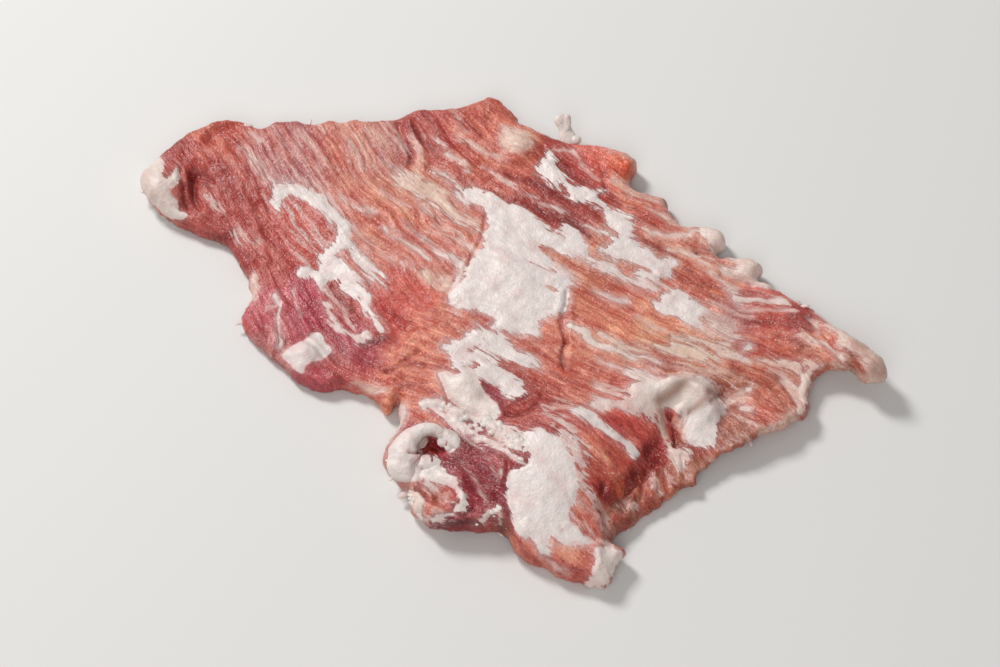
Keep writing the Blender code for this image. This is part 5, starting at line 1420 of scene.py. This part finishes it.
class Wire:
    # A socket whose arithmetic adds Math nodes to its tree.

    def __init__(self, tree, socket):
        self.tree, self.socket = tree, socket

    def node(self, kind, settings=None, sockets=None):
        # Adds a node: first its settings, then the values or links of its inputs.
        made = self.tree.nodes.new(kind)
        for key, value in (settings or {}).items():
            setattr(made, key, value)
        for key, value in (sockets or {}).items():
            if isinstance(value, Wire):
                self.tree.links.new(value.socket, made.inputs[key])
            else:
                made.inputs[key].default_value = value
        return made

    def out(self, kind, settings=None, sockets=None, output=0):
        return Wire(self.tree, self.node(kind, settings, sockets).outputs[output])

    def maths(self, operation, *values, clamp=False):
        settings = {"operation": operation, "use_clamp": clamp}
        return self.out("ShaderNodeMath", settings, dict(enumerate(values)))

    def clamped(self):
        return self.maths("ADD", self, 0.0, clamp=True)

    def ramp(self, low, high):
        # 0 below low and 1 above high, smooth between.
        settings = {"interpolation_type": "SMOOTHSTEP"}
        return self.out("ShaderNodeMapRange", settings, {"Value": self, "From Min": low, "From Max": high})

    def mixed(self, first, second, blend="MIX", factor=None):
        # Colour mix with this wire as the factor, or a number in its place.
        settings = {"data_type": "RGBA", "blend_type": blend}
        share = self if factor is None else factor
        return self.out("ShaderNodeMix", settings, {0: share, 6: first, 7: second}, 2)


def addOperator(name, operation):
    # The wire's operator and its reflected form.
    setattr(Wire, f"__{name}__", lambda self, other: self.maths(operation, self, other))
    setattr(Wire, f"__r{name}__", lambda self, other: self.maths(operation, other, self))


wireOperators = {"add": "ADD", "sub": "SUBTRACT", "mul": "MULTIPLY", "truediv": "DIVIDE", "pow": "POWER"}
for name, operation in wireOperators.items():
    addOperator(name, operation)


def newMaterial(name):
    # A material, its shader, and a wire that starts expressions in its tree.
    material = bpy.data.materials.new(name)
    material.use_nodes = True
    tree = material.node_tree
    shader = tree.nodes["Principled BSDF"]
    return material, shader, Wire(tree, shader.outputs[0])


def rgb(red, green, blue):
    # A socket's colour from 0 to 255.
    return (*linear((red, green, blue)).tolist(), 1.0)


meat = {
    "fatWhite": rgb(234, 221, 215),
    "fatCream": rgb(232, 198, 164),
    "fatPink": rgb(222, 190, 186),
    "fatGrey": rgb(216, 202, 198),
    "fatThin": rgb(218, 172, 158),
    "fatShadow": rgb(158, 108, 88),
    "greyShare": 0.45,
    "pinkShare": 0.55,
    "pinkRim": (1.6, 0.4),  # mm inside the fat's edge, and share
    "halo": ((-2.8, 0.8), 0.5),  # mm about the fat's edge where lean pales, and share
    "edgeSoftness": 0.52,  # mm over which fat turns to lean
    "thinSoftness": 2.8,  # more mm where the cover is thin
    "lumpSoftness": 0.7,
    "paleLean": rgb(228, 166, 140),
    "paleShare": 0.58,
    "redLean": rgb(190, 62, 48),
    "redShare": 0.5,
    # How dark the painted shade in the thin gaps between the lean's bundles leaves them.
    "gapShade": 0.52,  # how dark the lean is between its bundles
    # Painted highlights on the lean: their colour and how much of the colour they take.
    "glintColour": rgb(250, 214, 200),
    "glints": 0.55,
    "roughnessLean": 0.32,
    "roughnessFat": 0.44,
    "roughnessSwing": 0.3,
    "fixed": {"Subsurface Weight": 0.10, "Subsurface Radius": (1.0, 0.35, 0.22),
        "Subsurface Scale": 0.002, "Specular IOR Level": 0.5},
    "bumpHeight": 0.0005,
    # How far each noise moves the fat's edge, in mm: for each mm of fray, and always.
    "edgeMoves": {"medium": (3.0, 0.3), "fineGrain": (2.8, 0.2), "speck": (0.0, 0.5), "lump": (0.6, 0.4)},
    # Thin fat: strength of the veins, streaks and hairs; widths; the noises in a streak; its cut.
    "lineStrength": 0.42,
    "streakStrength": 0.86,
    "hairStrength": 0.16,
    "lineWidth": 0.022,
    "hairWidth": 0.02,
    "streakNoises": {"thread": 0.5, "medium": 0.32, "speck": 0.18},
    "streakCut": (0.68, 0.29, 0.13),  # without marbling, less with it, softness
    # Lean: darkest tone, the light that bundles add between two values, the swing of speckles.
    "toneLeast": 0.52,
    "bundles": {"broad": (0.32, 0.68, 0.34), "medium": (0.3, 0.7, 0.36), "fineGrain": (0.3, 0.7, 0.24)},
    "speckles": {"mottle": 0.6, "speck": 0.7, "glint": 0.2, "dust": 0.55},
    "channelPowers": (0.8, 1.3, 1.25),  # of the tone in red, green and blue
    "glintNoises": {"glint": 0.4, "dust": 0.3, "speck": 0.3},
    "glintCut": (0.59, 0.04),
    # Relief: height of each noise on lean, and the share of it that fat hides.
    "relief": {"medium": (0.9, 0.8), "fineGrain": (0.5, 0.6), "lump": (0.8, 0.35), "speck": (0.55, 0.15),
        "dust": (0.22, 0.7), "glint": (0.2, 0.7)},
    "thinFatHeight": 0.25,
    "fatHeight": 0.16,
}

# Noises stretched along the fibres: pitch along and across in mm, detail, offset, distortion.
fibreNoises = {
    "broad": (24, 4.2, 2, 0, 0.5),
    "medium": (11, 1.5, 2, 3.7, 0.5),
    "fineGrain": (5.0, 0.62, 2, 7.1, 0.4),
    "thread": (16, 1.8, 3, 11.3, 0.7),
    "glint": (1.5, 0.45, 1, 17.9, 0.0),
    "bloom": (20, 4.0, 3, 23.3, 0.8),
    "blush": (13, 3.0, 3, 31.7, 0.8),
}
# Noises the same in every direction: pitch in mm, detail, distortion.
spotNoises = {"mottle": (8, 3, 0.0), "lump": (3.2, 2, 0.3), "speck": (0.8, 2, 0.0), "dust": (0.42, 1, 0.0)}


def meatMaterial():
    # Lean with its fibres and marbling, fat over it where the mask is 1, and the fine relief of both.
    material, shader, wire = newMaterial("rawPork")
    attribute = lambda name, output: wire.out("ShaderNodeAttribute", {"attribute_name": name}, None, output)
    lean, depth, fray = attribute("lean", 0), attribute("fat", 2), attribute("fray", 2)
    cream, cover, marbled = attribute("cream", 2), attribute("cover", 2), attribute("marbling", 2)
    uv = wire.out("ShaderNodeUVMap", {"uv_map": "grain"})
    place = wire.out("ShaderNodeTexCoord", None, None, 3)
    shade = attribute("shade", 2)
    flat = wire.node("ShaderNodeSeparateXYZ", None, {0: uv})
    rise = wire.out("ShaderNodeSeparateXYZ", None, {0: place}, 2)
    flow, side = Wire(wire.tree, flat.outputs[0]), Wire(wire.tree, flat.outputs[1])
    solid = wire.out("ShaderNodeCombineXYZ", None, {0: flow, 1: side, 2: rise * 10.0})

    def fibre(alongPitch, acrossPitch, detail, offset, distortion):
        # Stretched noise, thinner still in height.
        scale = (100 / alongPitch, 100 / acrossPitch, 60 / acrossPitch)
        sockets = {"Vector": solid, "Scale": scale, "Location": (offset, offset, 0)}
        moved = wire.out("ShaderNodeMapping", None, sockets)
        values = {"Vector": moved, "Scale": 1.0, "Detail": detail, "Distortion": distortion}
        return wire.out("ShaderNodeTexNoise", None, values)

    def spots(pitch, detail, distortion):
        # Even noise on the piece's own place.
        values = {"Vector": place, "Scale": 1 / (pitch * mm), "Detail": detail, "Distortion": distortion}
        return wire.out("ShaderNodeTexNoise", None, values)

    def vein(noise, width):
        # 1 on the middle contour of a noise, 0 beyond the width.
        return 1 - wire.maths("ABSOLUTE", noise - 0.5).ramp(0.0, width)

    noises = {name: fibre(*row) for name, row in fibreNoises.items()}
    noises.update({name: spots(*row) for name, row in spotNoises.items()})
    broad, medium, fineGrain, thread = (noises[name] for name in ("broad", "medium", "fineGrain", "thread"))
    mottle, lump, speck = (noises[name] for name in ("mottle", "lump", "speck"))

    def mixOf(shares):
        # Sum of share * noise.
        return sum(noises[name] * share for name, share in shares.items())

    inside = depth
    for name, (byFray, always) in meat["edgeMoves"].items():
        inside = inside + (noises[name] - 0.5) * (fray * byFray + always)
    soft = (1 - cover) * meat["thinSoftness"] + meat["edgeSoftness"]
    soft = soft + lump.ramp(0.40, 0.64) * meat["lumpSoftness"]
    mask = (inside / soft + 0.5).clamped().ramp(0.0, 1.0)
    veil = 1 - (medium * 0.6 + fineGrain * 0.4).ramp(0.42, 0.60) * (1 - cover) * 1.5
    mask = mask * veil.clamped()
    haloReach, haloShare = meat["halo"]
    halo = inside.ramp(*haloReach) * haloShare

    lines = vein(thread, meat["lineWidth"]) * (marbled * 1.6 + 0.1).clamped()
    lines = lines * ((broad - 0.36) * 4).clamped()
    hairs = vein(fineGrain, meat["hairWidth"]) * ((mottle - 0.35) * 3).clamped()
    cut, cutByMarbling, cutSoftness = meat["streakCut"]
    streaks = ((mixOf(meat["streakNoises"]) - (cut - marbled * cutByMarbling)) / cutSoftness).clamped()
    streaks = streaks * (marbled * 1.8).clamped()
    thin = lines * meat["lineStrength"] + streaks * meat["streakStrength"]
    thin = (thin + hairs * meat["hairStrength"]).clamped() * (1 - mask)

    tone = meat["toneLeast"]
    for name, (low, high, light) in meat["bundles"].items():
        tone = noises[name].ramp(low, high) * light + tone
    for name, swing in meat["speckles"].items():
        tone = tone * ((noises[name] - 0.5) * swing + 1.0)
    # Painted shade: thin dark lines in the gaps between the lean's bundles.
    gap = vein(medium, meat["lineWidth"]) * ((lump - 0.42) * 5).clamped()
    tone = tone * (1 - gap * (1 - meat["gapShade"]))
    ruddy = (mottle * 0.5 + broad * 0.5).ramp(0.38, 0.62) * 0.26 + 0.80
    red, green, blue = (tone**power for power in meat["channelPowers"])
    sockets = {0: red, 1: green * ruddy * 0.88, 2: blue * (ruddy * 0.7 + 0.15)}
    grey = wire.out("ShaderNodeCombineColor", None, sockets)
    bright = wire.out("ShaderNodeSeparateColor", None, {0: lean}, 1).ramp(0.06, 0.17)
    pale = noises["bloom"].ramp(0.50, 0.72) * bright * meat["paleShare"]
    reddened = noises["blush"].ramp(0.50, 0.70) * bright * meat["redShare"]
    lean = reddened.mixed(pale.mixed(lean, meat["paleLean"]), meat["redLean"])
    leanShaded = wire.mixed(lean, grey, "MULTIPLY", 1.0)
    # Painted highlights: the lean turns towards the glint colour where the glint noises peak and the mottle
    # is high.
    shineCut, shineSoftness = meat["glintCut"]
    shine = ((mixOf(meat["glintNoises"]) - shineCut) / shineSoftness).clamped()
    shine = shine * ((mottle - 0.43) * 7).clamped()
    leanShaded = (shine * meat["glints"]).mixed(leanShaded, meat["glintColour"])

    fatColour = cream.mixed(meat["fatWhite"], meat["fatCream"])
    fatColour = (lump.ramp(0.46, 0.7) * meat["greyShare"]).mixed(fatColour, meat["fatGrey"])
    fatColour = (mottle.ramp(0.50, 0.72) * meat["pinkShare"]).mixed(fatColour, meat["fatPink"])
    fatColour = ((1 - cover) * 1.3).clamped().mixed(fatColour, meat["fatThin"])
    fatColour = shade.mixed(fatColour, meat["fatShadow"])
    rimReach, rimShare = meat["pinkRim"]
    fatColour = ((1 - inside.ramp(0.0, rimReach)) * rimShare).mixed(fatColour, meat["fatPink"])
    colour = (halo * (1 - mask) * cover * (bright * 0.8 + 0.2)).mixed(leanShaded, fatColour)
    colour = mask.mixed(thin.mixed(colour, fatColour), fatColour)

    wire.tree.links.new(colour.socket, shader.inputs["Base Color"])
    spread = meat["roughnessFat"] - meat["roughnessLean"]
    swing = (speck + mottle - 1.0) * meat["roughnessSwing"]
    rough = mask * spread + meat["roughnessLean"] + swing
    wire.tree.links.new(rough.socket, shader.inputs["Roughness"])
    height = thin * meat["thinFatHeight"] + mask * meat["fatHeight"]
    for name, (high, hidden) in meat["relief"].items():
        height = height + noises[name] * high * (1 - mask * hidden)
    relief = {"Height": height, "Strength": 1.0, "Distance": meat["bumpHeight"]}
    bump = wire.node("ShaderNodeBump", None, relief)
    wire.tree.links.new(bump.outputs[0], shader.inputs["Normal"])
    for name, value in meat["fixed"].items():
        shader.inputs[name].default_value = value
    return material


print("mixing the finishes")
rawPork = meatMaterial()
for piece in (steak, fatCurl, fatCrumbs, fatTag, torn):
    piece.data.materials.append(rawPork)
    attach(piece, "root")
    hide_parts("steak")


studio = {
    "floorColour": rgb(226, 224, 221),
    "floorRoughness": 0.7,
    "floorSide": 6.0,
    "nearClip": 0.01,
    "key": {"place": (-0.8, 0.9, 1.15), "size": 0.4, "power": 20.0},
    "fill": {"place": (-0.3, -1.3, 1.2), "size": 1.2, "power": 10.8},
    "world": 0.28,
}


def addStage():
    # A square pale floor at z = 0.
    half = studio["floorSide"] / 2
    corners = [(-half, -half, 0), (half, -half, 0), (half, half, 0), (-half, half, 0)]
    floor = makeMesh("floor", corners, [(0, 1, 2, 3)])
    material, shader, _ = newMaterial("paleFloor")
    shader.inputs["Base Color"].default_value = studio["floorColour"]
    shader.inputs["Roughness"].default_value = studio["floorRoughness"]
    floor.data.materials.append(material)


def addSoftbox(name, place, size, power):
    # A square lamp that looks at the origin.
    data = bpy.data.lights.new(name, "AREA")
    data.shape, data.size, data.energy = "SQUARE", size, power
    lamp = bpy.data.objects.new(name, data)
    lamp.location = place
    lamp.rotation_euler = (-Vector(place)).to_track_quat("-Z", "Y").to_euler()
    bpy.context.scene.collection.objects.link(lamp)


def addCamera():
    # The photograph's camera: away from its aim along the line of sight.
    data = bpy.data.cameras.new("camera")
    data.lens, data.sensor_width = photoView["lens"], photoView["sensor"]
    camera = bpy.data.objects.new("camera", data)
    x, y, _ = centred(np.array([*photoView["aim"], 0]))
    away = cameraAway * mm
    camera.location = (x, y - away * cosDown, away * sinDown)
    camera.rotation_euler = (math.pi / 2 - math.radians(photoView["elevation"]), 0, 0)
    data.clip_start = studio["nearClip"]
    bpy.context.scene.collection.objects.link(camera)
    bpy.context.scene.camera = camera


print("setting the stage")
addStage()
for name in ("key", "fill"):
    addSoftbox(name, **studio[name])
world = bpy.data.worlds.new("softWorld")
world.use_nodes = True
world.node_tree.nodes["Background"].inputs["Color"].default_value = (1, 1, 1, 1)
world.node_tree.nodes["Background"].inputs["Strength"].default_value = studio["world"]
bpy.context.scene.world = world
bpy.context.scene.view_settings.view_transform = "Standard"
addCamera()

print("done")
